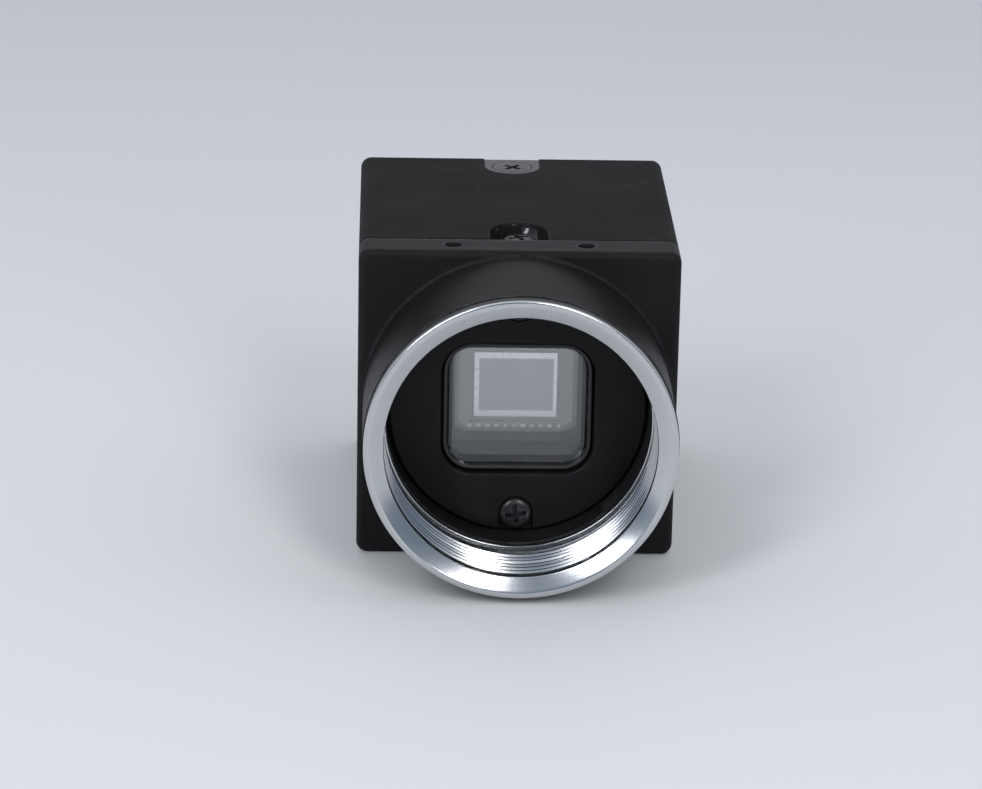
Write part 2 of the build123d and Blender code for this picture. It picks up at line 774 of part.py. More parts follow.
# The ten setting switches, and the two slide switches for line termination and sync
slide_bank("setting_switch", (0, control_height), (switch_body_width, switch_body_height),
           [(index - (switch_count - 1) / 2) * switch_pitch for index in range(switch_count)],
           (switch_knob_width, switch_knob_height), switch_travel)
slide_bank("termination_switch", (side_control_offset, side_switch_low),
           (side_switch_width, side_switch_body_height), [0],
           (side_switch_knob_width, side_switch_knob_height), side_switch_travel)
slide_bank("sync_switch", (side_control_offset, side_switch_low + side_switch_spacing),
           (side_switch_width, side_switch_body_height), [0],
           (side_switch_knob_width, side_switch_knob_height), side_switch_travel)

# Gain trimmer: a square body with a round rotor let into its face, turned by a slot
with BuildPart() as gain_trimmer_body:
    with BuildSketch(across(control_face, control_height)):
        with Locations((-side_control_offset, 0)):
            Rectangle(trimmer_body, trimmer_body)
    extrude(amount=control_face - switch_board_rear)
    with BuildSketch(across(control_face, control_height)):
        with Locations((-side_control_offset, 0)):
            Circle(trimmer_radius + slide_clearance)
    extrude(amount=trimmer_depth + slide_clearance, mode=Mode.SUBTRACT)
save(gain_trimmer_body.part, "gain_trimmer_body")

with BuildPart() as gain_trimmer_rotor:
    with BuildSketch(across(control_face, control_height)):
        with Locations((-side_control_offset, 0)):
            Circle(trimmer_radius)
    extrude(amount=trimmer_depth)
    with BuildSketch(across(control_face, control_height)):
        with Locations((-side_control_offset, 0)):
            Rectangle(trimmer_slot, 2 * trimmer_radius)
    extrude(amount=trimmer_slot_depth, mode=Mode.SUBTRACT)
save(gain_trimmer_rotor.part, "gain_trimmer_rotor")

# Switch board: a strip behind the setting switches with an arm up each side to its post
with BuildPart() as switch_board:
    with BuildSketch(across(switch_board_rear, 0)):
        with Locations((0, control_height)):
            Rectangle(2 * side_control_offset + arm_width, switch_body_height)
        for side, arm_top in ((-side_control_offset, left_arm_top),
                              (side_control_offset, right_arm_top)):
            with Locations((side, (strip_base + arm_top) / 2)):
                Rectangle(arm_width, arm_top - strip_base)
        with Locations(*switch_posts):
            Circle(board_screw_radius + slide_clearance, mode=Mode.SUBTRACT)
    extrude(amount=board_thickness)
save(switch_board.part, "switch_board")

board_screw_length = switch_board_setback - slide_clearance
with BuildPart() as switch_board_screws:
    for x, z in switch_posts:
        with Locations(Plane(origin=(x, switch_board_front, z), x_dir=(1, 0, 0),
                             z_dir=(0, -1, 0))):
            add(cross_head_screw(board_screw_radius, board_screw_length, board_screw_head,
                                 stack_head_height, board_screw_head))
save(switch_board_screws.part, "switch_board_screws")

# Link header: joins the switch board to the board stack
with BuildPart() as link_header:
    with BuildSketch(across(switch_board_front, control_height)):
        Rectangle(header_length, header_width)
    extrude(amount=switch_board_front - io_board_rear)
save(link_header.part, "link_header")
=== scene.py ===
"""Dressed scene of a small square machine vision camera with a bare metal lens mount ring."""
import logging
import math
from collections.abc import Callable
from dataclasses import dataclass, field
from enum import Enum

import bmesh
import bpy
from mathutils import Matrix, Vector


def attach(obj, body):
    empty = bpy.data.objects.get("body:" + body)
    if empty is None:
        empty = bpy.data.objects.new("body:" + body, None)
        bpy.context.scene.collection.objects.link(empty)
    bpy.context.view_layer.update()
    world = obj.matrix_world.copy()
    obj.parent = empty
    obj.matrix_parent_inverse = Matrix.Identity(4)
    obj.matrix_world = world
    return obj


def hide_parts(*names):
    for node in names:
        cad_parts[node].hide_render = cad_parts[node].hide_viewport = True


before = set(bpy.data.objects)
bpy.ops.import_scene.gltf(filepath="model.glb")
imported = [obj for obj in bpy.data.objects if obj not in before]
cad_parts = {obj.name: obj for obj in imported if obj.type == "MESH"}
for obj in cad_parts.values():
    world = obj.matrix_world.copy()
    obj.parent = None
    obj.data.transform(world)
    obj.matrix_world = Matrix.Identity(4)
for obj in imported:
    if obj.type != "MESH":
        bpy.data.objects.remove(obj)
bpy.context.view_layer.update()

MM = 0.001
AXIS_Z = 14.5
LOG = logging.getLogger("vision_camera")
Colour = tuple[float, float, float]
Profile = list[tuple[float, float]]
Outline = tuple[tuple[float, float, float], ...]


class Grain(Enum):
    """How a finish breaks up the light."""

    PEBBLED = "pebbled"
    TURNED = "turned"


class Face(Enum):
    """Which way a screw's head looks."""

    FRONT = (0.0, -1.0, 0.0)
    TOP = (0.0, 0.0, 1.0)
    BASE = (0.0, 0.0, -1.0)


class Wiring:
    """Short calls that add nodes to one tree and join them."""

    def __init__(self, tree: bpy.types.NodeTree) -> None:
        """Keep the tree.

        Args:
            tree: A shader or geometry node tree.
        """
        self.tree = tree

    def add(self, kind: str, settings: dict[str, object] | None = None, **feeds: object) -> bpy.types.Node:
        """Add one node, and set or join its inputs.

        Args:
            kind: The node's type name.
            settings: Properties of the node itself.
            feeds: A value or an output socket for each input, with _ for a space.

        Returns:
            The new node.
        """
        node = self.tree.nodes.new(kind)
        for key, value in (settings or {}).items():
            setattr(node, key, value)
        for key, value in feeds.items():
            self.feed(node.inputs[key.replace("_", " ")], value)
        return node

    def feed(self, socket: bpy.types.NodeSocket, value: object) -> None:
        """Give an input a value, or join an output to it.

        Args:
            socket: The input.
            value: A plain value or an output socket.
        """
        if isinstance(value, bpy.types.NodeSocket):
            self.tree.links.new(value, socket)
        else:
            socket.default_value = value

    def sums(self, operation: str, *values: object) -> bpy.types.NodeSocket:
        """Add a Math node.

        Args:
            operation: The node's operation.
            values: A number or a socket for each input in turn.

        Returns:
            The result's socket.
        """
        node = self.add("ShaderNodeMath", {"operation": operation})
        for socket, value in zip(node.inputs, values):
            self.feed(socket, value)
        return node.outputs[0]

    def blend(self, factor: object, first: object, second: object) -> bpy.types.NodeSocket:
        """Mix two colours.

        Args:
            factor: How much of the second colour, 0 to 1.
            first: Colour with alpha, or a socket.
            second: Colour with alpha, or a socket.

        Returns:
            The mixed colour's socket.
        """
        node = self.add("ShaderNodeMix", {"data_type": "RGBA"})
        for index, value in ((0, factor), (6, first), (7, second)):
            self.feed(node.inputs[index], value)
        return node.outputs[2]

    def place(self) -> bpy.types.NodeSocket:
        """Return the Object coordinates.

        Returns:
            Their socket.
        """
        return self.add("ShaderNodeTexCoord").outputs["Object"]

    def parts(self) -> bpy.types.bpy_prop_collection:
        """Return the Object coordinates one by one.

        Returns:
            The sockets X, Y and Z.
        """
        return self.add("ShaderNodeSeparateXYZ", None, Vector=self.place()).outputs

    def span(self, first: object, second: object) -> bpy.types.NodeSocket:
        """Measure the long side over two square sides.

        Args:
            first: One side's socket.
            second: The other side's socket.

        Returns:
            The long side's socket.
        """
        squares = [self.sums("MULTIPLY", side, side) for side in (first, second)]
        return self.sums("SQRT", self.sums("ADD", *squares))

    def ramp(self, value: object, low: object, high: object, to_low: object,
             to_high: object) -> bpy.types.NodeSocket:
        """Map a range of values to another, clamped.

        Args:
            value: The socket that is mapped.
            low: Start of the range.
            high: End of the range.
            to_low: Result at the start.
            to_high: Result at the end.

        Returns:
            The result's socket.
        """
        node = self.add("ShaderNodeMapRange")
        for index, given in enumerate((value, low, high, to_low, to_high)):
            self.feed(node.inputs[index], given)
        return node.outputs[0]


def new_material(name: str) -> tuple[bpy.types.Material, Wiring, bpy.types.Node]:
    """Start a material.

    Args:
        name: Its name.

    Returns:
        The material, its wiring and its Principled shader.
    """
    material = bpy.data.materials.new(name)
    material.use_nodes = True
    return material, Wiring(material.node_tree), material.node_tree.nodes["Principled BSDF"]


def make_tree(name: str, kind: str, inputs: dict[str, tuple[str, object]],
              outputs: dict[str, str]) -> Wiring:
    """Start a node group with named inputs and outputs.

    Args:
        name: The group's name.
        kind: ShaderNodeTree or GeometryNodeTree.
        inputs: Socket type and default for each input.
        outputs: Socket type for each output.

    Returns:
        The group's wiring.
    """
    tree = bpy.data.node_groups.new(name, kind)
    for label, (socket_type, default) in inputs.items():
        item = tree.interface.new_socket(name=label, in_out="INPUT", socket_type=socket_type)
        if default is not None:
            item.default_value = default
    for label, socket_type in outputs.items():
        tree.interface.new_socket(name=label, in_out="OUTPUT", socket_type=socket_type)
    return Wiring(tree)


@dataclass
class Effects:
    """Shader groups that several finishes share."""

    made: dict[str, bpy.types.NodeTree] = field(default_factory=dict)

    def group(self, name: str) -> bpy.types.NodeTree:
        """Return a group by name, and build it the first time.

        Args:
            name: fine_grain, turning_marks, edge_rub_highlight or dust_specks.

        Returns:
            The shader node group.
        """
        if name not in self.made:
            self.made[name] = getattr(self, name)()
        return self.made[name]

    def use(self, w: Wiring, name: str, **feeds: object) -> bpy.types.Node:
        """Add a group to a material.

        Args:
            w: The material's wiring.
            name: The group's name.
            feeds: A value or an output socket for each input, with _ for a space.

        Returns:
            The group's node.
        """
        return w.add("ShaderNodeGroup", {"node_tree": self.group(name)}, **feeds)

    def fine_grain(self) -> bpy.types.NodeTree:
        """Build the pebbled grain of paint, moulding and ceramic.

        Returns:
            A group with Height and Cloud, both 0 to 1.
        """
        w = make_tree("fine_grain", "ShaderNodeTree",
                      {"Scale": ("NodeSocketFloat", 5000.0), "Cloud Scale": ("NodeSocketFloat", 180.0)},
                      {"Height": "NodeSocketFloat", "Cloud": "NodeSocketFloat"})
        given = w.add("NodeGroupInput")
        place = w.place()
        pebble = w.add("ShaderNodeTexVoronoi", {"feature": "SMOOTH_F1"}, Vector=place,
                       Scale=given.outputs["Scale"], Smoothness=0.6)
        swirl = w.add("ShaderNodeTexNoise", None, Vector=place, Scale=given.outputs["Scale"], Detail=3.0)
        cloud = w.add("ShaderNodeTexNoise", None, Vector=place, Scale=given.outputs["Cloud Scale"],
                      Detail=4.0)
        height = w.sums("ADD", w.sums("MULTIPLY", pebble.outputs["Distance"], 0.6),
                        w.sums("MULTIPLY", swirl.outputs[0], 0.5))
        w.add("NodeGroupOutput", None, Height=height, Cloud=cloud.outputs[0])
        return w.tree

    def turning_marks(self) -> bpy.types.NodeTree:
        """Build the fine rings that a lathe leaves round the optical axis.

        Returns:
            A group with Height and Streak, both 0 to 1.
        """
        w = make_tree("turning_marks", "ShaderNodeTree",
                      {"Centre": ("NodeSocketVector", (0.0, 0.0, AXIS_Z * MM)),
                       "Pitch": ("NodeSocketFloat", 0.00006)},
                      {"Height": "NodeSocketFloat", "Streak": "NodeSocketFloat"})
        given = w.add("NodeGroupInput")
        arm = w.add("ShaderNodeVectorMath", {"operation": "SUBTRACT"})
        w.feed(arm.inputs[0], w.place())
        w.feed(arm.inputs[1], given.outputs["Centre"])
        parts = w.add("ShaderNodeSeparateXYZ", None, Vector=arm.outputs[0]).outputs
        radius = w.span(parts["X"], parts["Z"])
        along = w.sums("DIVIDE", w.sums("ADD", radius, parts["Y"]), given.outputs["Pitch"])
        ring = w.add("ShaderNodeTexNoise", {"noise_dimensions": "1D"}, W=along, Scale=1.0, Detail=2.0)
        coarse = w.sums("MULTIPLY", along, 0.16)
        streak = w.add("ShaderNodeTexNoise", {"noise_dimensions": "1D"}, W=coarse, Scale=1.0, Detail=3.0)
        w.add("NodeGroupOutput", None, Height=ring.outputs[0], Streak=streak.outputs[0])
        return w.tree

    def edge_rub_highlight(self) -> bpy.types.NodeTree:
        """Build the mask of corners that handling has rubbed smooth, which also carries a painted edge
        highlight.

        Returns:
            A group with Mask, 0 on flats and up to 1 on edges.
        """
        w = make_tree("edge_rub_highlight", "ShaderNodeTree", {"Width": ("NodeSocketFloat", 0.0005)},
                      {"Mask": "NodeSocketFloat"})
        given = w.add("NodeGroupInput")
        # The mask marks edges for rubbed wear and for a painted highlight where rounded edges catch the
        # light.
        rounded = w.add("ShaderNodeBevel", {"samples": 6}, Radius=given.outputs["Width"])
        true = w.add("ShaderNodeNewGeometry").outputs["Normal"]
        dot = w.add("ShaderNodeVectorMath", {"operation": "DOT_PRODUCT"})
        w.feed(dot.inputs[0], rounded.outputs[0])
        w.feed(dot.inputs[1], true)
        turned = w.ramp(dot.outputs["Value"], 0.88, 0.998, 1.0, 0.0)
        patches = w.add("ShaderNodeTexNoise", None, Vector=w.place(), Scale=700.0, Detail=3.0)
        broken = w.ramp(patches.outputs[0], 0.35, 0.7, 0.15, 1.0)
        w.add("NodeGroupOutput", None, Mask=w.sums("MULTIPLY", turned, broken))
        return w.tree

    def dust_specks(self) -> bpy.types.NodeTree:
        """Build a thin scatter of pale dust specks.

        Returns:
            A group with Mask, 0 or near 1 on a speck.
        """
        w = make_tree("dust_specks", "ShaderNodeTree",
                      {"Scale": ("NodeSocketFloat", 900.0), "Size": ("NodeSocketFloat", 0.06),
                       "Share": ("NodeSocketFloat", 0.12)},
                      {"Mask": "NodeSocketFloat"})
        given = w.add("NodeGroupInput")
        cells = w.add("ShaderNodeTexVoronoi", {"feature": "F1"}, Vector=w.place(),
                      Scale=given.outputs["Scale"])
        near = w.sums("LESS_THAN", cells.outputs["Distance"], given.outputs["Size"])
        tone = w.add("ShaderNodeSeparateColor", None, Color=cells.outputs["Color"])
        chosen = w.sums("LESS_THAN", tone.outputs[0], given.outputs["Share"])
        w.add("NodeGroupOutput", None, Mask=w.sums("MULTIPLY", near, chosen))
        return w.tree


EFFECTS = Effects()
MADE: dict[str, bpy.types.Material] = {}


@dataclass(frozen=True)
class Finish:
    """One opaque finish: its colour, how rough it is and the grain in it."""

    name: str
    colour: Colour
    rough: tuple[float, float]
    grain: Grain
    metal: float = 0.0
    grain_scale: float = 7000.0
    bump: float = 0.15
    bump_depth: float = 0.00002
    tint: float = 0.12
    # Edge lightening: partly rubbed wear, partly a painted highlight along the edges.
    rub_and_highlight: float = 0.0
    rub_highlight_colour: Colour = (0.12, 0.12, 0.125)
    dust: float = 0.0
    coat: float = 0.0
    pressed: tuple[float, float] = (0.0, 0.0)
    blackened: tuple[float, float] = (0.0, 0.0)
    marks_centre: tuple[float, float, float] = (0.0, 0.0, AXIS_Z * MM)
    specular: float = 0.5

    def build(self) -> bpy.types.Material:
        """Build the material.

        Returns:
            The material, made once for each name.
        """
        if self.name in MADE:
            return MADE[self.name]
        material, w, shader = new_material(f"{self.name}_finish")
        MADE[self.name] = material
        if self.grain is Grain.TURNED:
            source = EFFECTS.use(w, "turning_marks", Centre=self.marks_centre,
                                 Pitch=1.0 / self.grain_scale)
            cloud = source.outputs["Streak"]
        else:
            source = EFFECTS.use(w, "fine_grain", Scale=self.grain_scale)
            cloud = source.outputs["Cloud"]
        dark = tuple(c * (1 - self.tint) for c in self.colour) + (1.0,)
        light = tuple(min(1.0, c * (1 + self.tint)) for c in self.colour) + (1.0,)
        colour = w.blend(w.ramp(cloud, 0.3, 0.7, 0.0, 1.0), dark, light)
        rough = w.ramp(cloud, 0.3, 0.7, self.rough[0], self.rough[1])
        # Edges get a lighter colour: rubbed wear plus a painted highlight where the rounded edges catch the
        # light.
        if self.rub_and_highlight:
            rubbed_highlight = w.sums("MULTIPLY", EFFECTS.use(w, "edge_rub_highlight").outputs["Mask"], self.rub_and_highlight)
            colour = w.blend(rubbed_highlight, colour, (*self.rub_highlight_colour, 1.0))
            rough = w.sums("SUBTRACT", rough, w.sums("MULTIPLY", rubbed_highlight, 0.12))
        if self.dust:
            dust = EFFECTS.use(w, "dust_specks", Share=self.dust)
            colour = w.blend(w.sums("MULTIPLY", dust.outputs["Mask"], 0.5), colour, (0.35, 0.35, 0.36, 1.0))
        height = source.outputs["Height"]
        shader.inputs["Coat Weight"].default_value = self.coat
        shader.inputs["Coat Roughness"].default_value = 0.12
        if self.pressed[0]:
            smooth = self.pressed_zone(w)
            height = w.sums("MULTIPLY", height, w.sums("SUBTRACT", 1.0, smooth))
            w.feed(shader.inputs["Coat Weight"], smooth)
        w.feed(shader.inputs["Base Color"], colour)
        w.feed(shader.inputs["Roughness"], rough)
        shader.inputs["Metallic"].default_value = self.metal
        if self.blackened[0]:
            black = self.black_side(w)
            colour = w.blend(black, colour, (0.012, 0.0115, 0.0125, 1.0))
            w.feed(shader.inputs["Base Color"], colour)
            w.feed(shader.inputs["Roughness"], w.ramp(black, 0.0, 1.0, rough, 0.42))
            w.feed(shader.inputs["Metallic"], w.ramp(black, 0.0, 1.0, self.metal, 0.0))
        shader.inputs["Specular IOR Level"].default_value = self.specular
        bump = w.add("ShaderNodeBump", None, Strength=self.bump, Distance=self.bump_depth, Height=height)
        w.feed(shader.inputs["Normal"], bump.outputs["Normal"])
        return material

    def black_side(self, w: Wiring) -> bpy.types.NodeSocket:
        """Mask the ring's outer side, which is black up to its bare front edge.

        Args:
            w: The material's wiring.

        Returns:
            A socket that is 1 outside the radius and behind the station.
        """
        radius, station = self.blackened
        parts = w.parts()
        away = w.span(parts["X"], w.sums("SUBTRACT", parts["Z"], AXIS_Z * MM))
        outside = w.ramp(away, (radius - 0.02) * MM, (radius + 0.02) * MM, 0.0, 1.0)
        behind = w.ramp(parts["Y"], (station - 0.04) * MM, (station + 0.04) * MM, 0.0, 1.0)
        return w.sums("MULTIPLY", outside, behind)

    def pressed_zone(self, w: Wiring) -> bpy.types.NodeSocket:
        """Mask the pressed places of the cover, whose paint is drawn smooth and shiny.

        Args:
            w: The material's wiring.

        Returns:
            A socket that is 1 within the half width and below the outer faces.
        """
        half_width, reach = self.pressed
        parts = w.parts()
        across = w.sums("ABSOLUTE", parts["X"])
        above = w.sums("ABSOLUTE", w.sums("SUBTRACT", parts["Z"], AXIS_Z * MM))
        narrow = w.ramp(across, half_width * MM, (half_width + 0.05) * MM, 1.0, 0.0)
        sunk = w.ramp(above, (reach - 0.04) * MM, reach * MM, 1.0, 0.0)
        return w.sums("MULTIPLY", narrow, sunk)


@dataclass(frozen=True)
class FilmGlass:
    """Thin clear glass: straight through, with a mirror veil that grows at a slant."""

    name: str
    colour: Colour
    gain: float
    base: float

    def build(self) -> bpy.types.Material:
        """Build the material.

        Returns:
            The glass material.
        """
        material, w, shader = new_material(self.name)
        grain = EFFECTS.use(w, "fine_grain", Scale=900.0)
        specks = EFFECTS.use(w, "dust_specks", Scale=1100.0, Size=0.05, Share=0.03)
        slant = w.add("ShaderNodeFresnel", None, IOR=1.5).outputs[0]
        veil = w.sums("ADD", w.sums("MULTIPLY", slant, self.gain), self.base)
        veil = w.sums("ADD", veil, w.sums("MULTIPLY", specks.outputs["Mask"], 0.10))
        w.feed(shader.inputs["Alpha"], veil)
        w.feed(shader.inputs["Base Color"], w.blend(grain.outputs["Cloud"], (*self.colour, 1.0),
                                                    (*(0.96 * c for c in self.colour), 1.0)))
        shader.inputs["Metallic"].default_value = 1.0
        w.feed(shader.inputs["Roughness"], w.ramp(grain.outputs["Cloud"], 0.3, 0.7, 0.015, 0.03))
        return material


@dataclass(frozen=True)
class SiliconDie:
    """Polished sensor die: a grey active field in a bright metal border with fine marks."""

    name: str = "sensor_silicon"
    left: float = -3.325
    right: float = 3.435
    low: float = -2.46
    high: float = 2.487
    field_colour: Colour = (0.30, 0.32, 0.36)
    border_colour: Colour = (1.0, 0.98, 1.0)
    mark_colour: Colour = (0.22, 0.21, 0.24)

    def inside(self, w: Wiring, value: object, low: float, high: float) -> bpy.types.NodeSocket:
        """Mask a coordinate between two edges.

        Args:
            w: The material's wiring.
            value: The coordinate's socket, in metres.
            low: The lower edge in millimetres.
            high: The upper edge in millimetres.

        Returns:
            A socket that is 1 between the edges.
        """
        above = w.ramp(value, (low - 0.02) * MM, (low + 0.02) * MM, 0.0, 1.0)
        below = w.ramp(value, (high - 0.02) * MM, (high + 0.02) * MM, 1.0, 0.0)
        return w.sums("MULTIPLY", above, below)

    def build(self) -> bpy.types.Material:
        """Build the material.

        Returns:
            The die's material.
        """
        material, w, shader = new_material(self.name)
        parts = w.parts()
        x = parts["X"]
        z = w.sums("SUBTRACT", parts["Z"], AXIS_Z * MM)
        active = w.sums("MULTIPLY", self.inside(w, x, self.left, self.right),
                        self.inside(w, z, self.low, self.high))
        ledge = w.sums("MULTIPLY", self.inside(w, x, self.left - 0.07, self.right + 0.07),
                       self.inside(w, z, self.low - 0.07, self.high + 0.07))
        pads = w.add("ShaderNodeTexBrick", {"offset": 0.5, "squash": 1.0}, Scale=1000.0, Color1=(1, 1, 1, 1),
                     Color2=(0.55, 0.55, 0.55, 1), Mortar=(0, 0, 0, 1), Mortar_Size=0.03,
                     Brick_Width=0.26, Row_Height=0.13)
        flat = w.add("ShaderNodeCombineXYZ", None, X=x, Y=z)
        w.feed(pads.inputs["Vector"], flat.outputs[0])
        noise = w.add("ShaderNodeTexNoise", None, Vector=w.place(), Scale=2600.0, Detail=3.0)
        broken = w.ramp(noise.outputs[0], 0.56, 0.66, 0.0, 0.5)
        marks = w.sums("MULTIPLY", broken, pads.outputs["Fac"])
        speckle = w.ramp(noise.outputs[0], 0.64, 0.70, 0.0, 0.4)
        border = w.blend(w.sums("MAXIMUM", marks, speckle), (*self.border_colour, 1.0),
                         (*self.mark_colour, 1.0))
        colour = w.blend(ledge, border, (0.62, 0.60, 0.66, 1.0))
        colour = w.blend(active, colour, (*self.field_colour, 1.0))
        grain = EFFECTS.use(w, "fine_grain", Scale=16000.0, Cloud_Scale=300.0)
        w.feed(shader.inputs["Base Color"], colour)
        w.feed(shader.inputs["Roughness"], w.ramp(grain.outputs["Cloud"], 0.3, 0.7, 0.30, 0.36))
        shader.inputs["Metallic"].default_value = 1.0
        return material


CASTING = Finish("black_casting_paint", (0.0135, 0.0130, 0.0140), (0.38, 0.46), Grain.PEBBLED,
                 grain_scale=4200.0, bump=0.22, rub_and_highlight=0.9, rub_highlight_colour=(0.075, 0.075, 0.08), dust=0.02,
                 specular=0.05)
COVER = Finish("black_cover_paint", (0.0125, 0.0121, 0.0131), (0.50, 0.62), Grain.PEBBLED,
               grain_scale=5200.0, bump=0.45, bump_depth=0.00003, rub_and_highlight=0.6, rub_highlight_colour=(0.06, 0.06, 0.063),
               dust=0.03, specular=0.03, pressed=(2.75, 14.4))
PANEL = Finish("rear_panel_paint", (0.0125, 0.0121, 0.0131), (0.46, 0.58), Grain.PEBBLED,
               grain_scale=4600.0, bump=0.3, rub_and_highlight=0.6, rub_highlight_colour=(0.06, 0.06, 0.063),
               dust=0.02, specular=0.08)
ALUMINIUM = Finish("bare_aluminium", (0.56, 0.57, 0.585), (0.17, 0.24), Grain.TURNED, metal=1.0,
                   grain_scale=14000.0, bump=0.05, bump_depth=0.000008, tint=0.08, blackened=(13.8, -24.82))
ANODISED = Finish("black_anodised", (0.0095, 0.0092, 0.0105), (0.28, 0.38), Grain.PEBBLED,
                  grain_scale=9000.0, bump=0.10, bump_depth=0.00001, rub_and_highlight=0.3, rub_highlight_colour=(0.03, 0.03, 0.033),
                  dust=0.02, specular=0.12)
# On the screw heads the edge lightening also paints a lit rim round each head.
SCREW = Finish("black_screw_steel", (0.012, 0.0118, 0.0128), (0.24, 0.36), Grain.PEBBLED, metal=0.1,
               bump=0.2, bump_depth=0.00001, rub_and_highlight=0.55, rub_highlight_colour=(0.10, 0.10, 0.105))
SEAL = Finish("seal_rubber", (0.012, 0.012, 0.013), (0.34, 0.46), Grain.PEBBLED, grain_scale=6000.0,
              bump=0.15, bump_depth=0.00001, rub_and_highlight=0.25, rub_highlight_colour=(0.05, 0.05, 0.055))
CERAMIC = Finish("grey_ceramic", (0.075, 0.074, 0.077), (0.55, 0.68), Grain.PEBBLED, grain_scale=8000.0,
                 bump=0.2, bump_depth=0.00001, tint=0.10)
FINGERS = Finish("bond_finger_gold", (0.80, 0.70, 0.62), (0.28, 0.4), Grain.PEBBLED, metal=1.0,
                 grain_scale=9000.0, bump=0.1, bump_depth=0.00001)
GOLD = Finish("gold_plate", (0.83, 0.62, 0.28), (0.18, 0.28), Grain.PEBBLED, metal=1.0,
              bump=0.1, bump_depth=0.00001)
NICKEL = Finish("satin_nickel", (0.62, 0.60, 0.57), (0.20, 0.32), Grain.TURNED, metal=1.0,
                grain_scale=12000.0, bump=0.15, bump_depth=0.00001, tint=0.06,
                marks_centre=(0.0, 0.0, 17.65 * MM))
STEEL = Finish("bright_steel", (0.56, 0.56, 0.57), (0.25, 0.35), Grain.PEBBLED, metal=1.0)
BRASS = Finish("spacer_brass", (0.72, 0.55, 0.27), (0.25, 0.35), Grain.PEBBLED, metal=1.0)
BOARD = Finish("board_green", (0.02, 0.12, 0.05), (0.35, 0.45), Grain.PEBBLED, grain_scale=3000.0, coat=0.4)
CHIP = Finish("chip_black", (0.03, 0.03, 0.032), (0.5, 0.6), Grain.PEBBLED, grain_scale=9000.0)
INSERT = Finish("insert_black", (0.02, 0.02, 0.021), (0.38, 0.48), Grain.PEBBLED, rub_and_highlight=0.25)
SWITCH_BLACK = Finish("switch_black", (0.028, 0.028, 0.03), (0.42, 0.5), Grain.PEBBLED, rub_and_highlight=0.3)
SWITCH_WHITE = Finish("switch_white", (0.78, 0.77, 0.73), (0.35, 0.45), Grain.PEBBLED, tint=0.04)
TRIMMER_BLUE = Finish("trimmer_blue", (0.03, 0.09, 0.30), (0.35, 0.45), Grain.PEBBLED)
TRIMMER_WHITE = Finish("trimmer_white", (0.74, 0.72, 0.66), (0.35, 0.45), Grain.PEBBLED, tint=0.05)
FILTER_FILM = FilmGlass("filter_glass_film", (0.93, 0.95, 0.97), 1.0, 0.03)
LID_FILM = FilmGlass("lid_glass_film", (0.95, 0.95, 0.97), 0.7, 0.085)


def link_mesh(name: str, mesh: bpy.types.Mesh) -> bpy.types.Object:
    """Put a mesh in the scene as an object at the origin.

    Args:
        name: The object's name.
        mesh: Its mesh.

    Returns:
        The object.
    """
    piece = bpy.data.objects.new(name, mesh)
    bpy.context.scene.collection.objects.link(piece)
    return piece


def settle(piece: bpy.types.Object, sharp_degrees: float, weighted: bool = False) -> bpy.types.Object:
    """Shade a piece smooth between its sharp edges.

    Args:
        piece: The object.
        sharp_degrees: Edges over this angle stay sharp.
        weighted: Lean the shading towards the larger faces.

    Returns:
        The same object.
    """
    mesh = piece.data
    mesh.polygons.foreach_set("use_smooth", [True] * len(mesh.polygons))
    mesh.set_sharp_from_angle(angle=math.radians(sharp_degrees))
    if weighted:
        lean = piece.modifiers.new("lean", "WEIGHTED_NORMAL")
        lean.keep_sharp = True
        bake(piece)
    piece.data.update()
    return piece


def bake(piece: bpy.types.Object) -> None:
    """Turn a piece's live modifiers into its plain mesh.

    Args:
        piece: The object.
    """
    graph = bpy.context.evaluated_depsgraph_get()
    made = bpy.data.meshes.new_from_object(piece.evaluated_get(graph), depsgraph=graph)
    piece.modifiers.clear()
    old = piece.data
    piece.data = made
    bpy.data.meshes.remove(old)


def finish_piece(piece: bpy.types.Object, material: bpy.types.Material, body: str, slot: str,
                 *nodes: str) -> bpy.types.Object:
    """Give a piece its material, its body and the nodes that it stands for.

    Args:
        piece: The object.
        material: Its finish.
        body: The body that it rides on.
        slot: The record's material slot; not used.
        nodes: The solids that it replaces.

    Returns:
        The same object.
    """
    piece.data.materials.clear()
    piece.data.materials.append(material)
    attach(piece, body)
    if nodes:
        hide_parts(*nodes)
    LOG.info("%s: %d faces on %s", piece.name, len(piece.data.polygons), body)
    return piece


def merged_copy(node: str, name: str) -> bpy.types.Object:
    """Copy a solid's mesh, with its corners merged and its flat faces joined.

    Args:
        node: The solid's node.
        name: The new piece's name.

    Returns:
        The new piece.
    """
    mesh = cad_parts[node].data.copy()
    mesh.name = name
    shell = bmesh.new()
    shell.from_mesh(mesh)
    bmesh.ops.remove_doubles(shell, verts=shell.verts, dist=1e-7)
    bmesh.ops.dissolve_limit(shell, angle_limit=math.radians(0.05), verts=shell.verts, edges=shell.edges)
    shell.to_mesh(mesh)
    shell.free()
    return link_mesh(name, mesh)


def dress_copy(node: str, name: str, material: bpy.types.Material, slot: str, body: str = "housing",
               sharp_degrees: float = 28.0) -> None:
    """Put a smoothly shaded copy with a finish in place of a solid.

    Args:
        node: The solid's node.
        name: The new piece's name.
        material: Its finish.
        slot: The record's material slot.
        body: The body that it rides on.
        sharp_degrees: Edges over this angle stay sharp.
    """
    piece = settle(merged_copy(node, name), sharp_degrees, weighted=True)
    finish_piece(piece, material, body, slot, node)


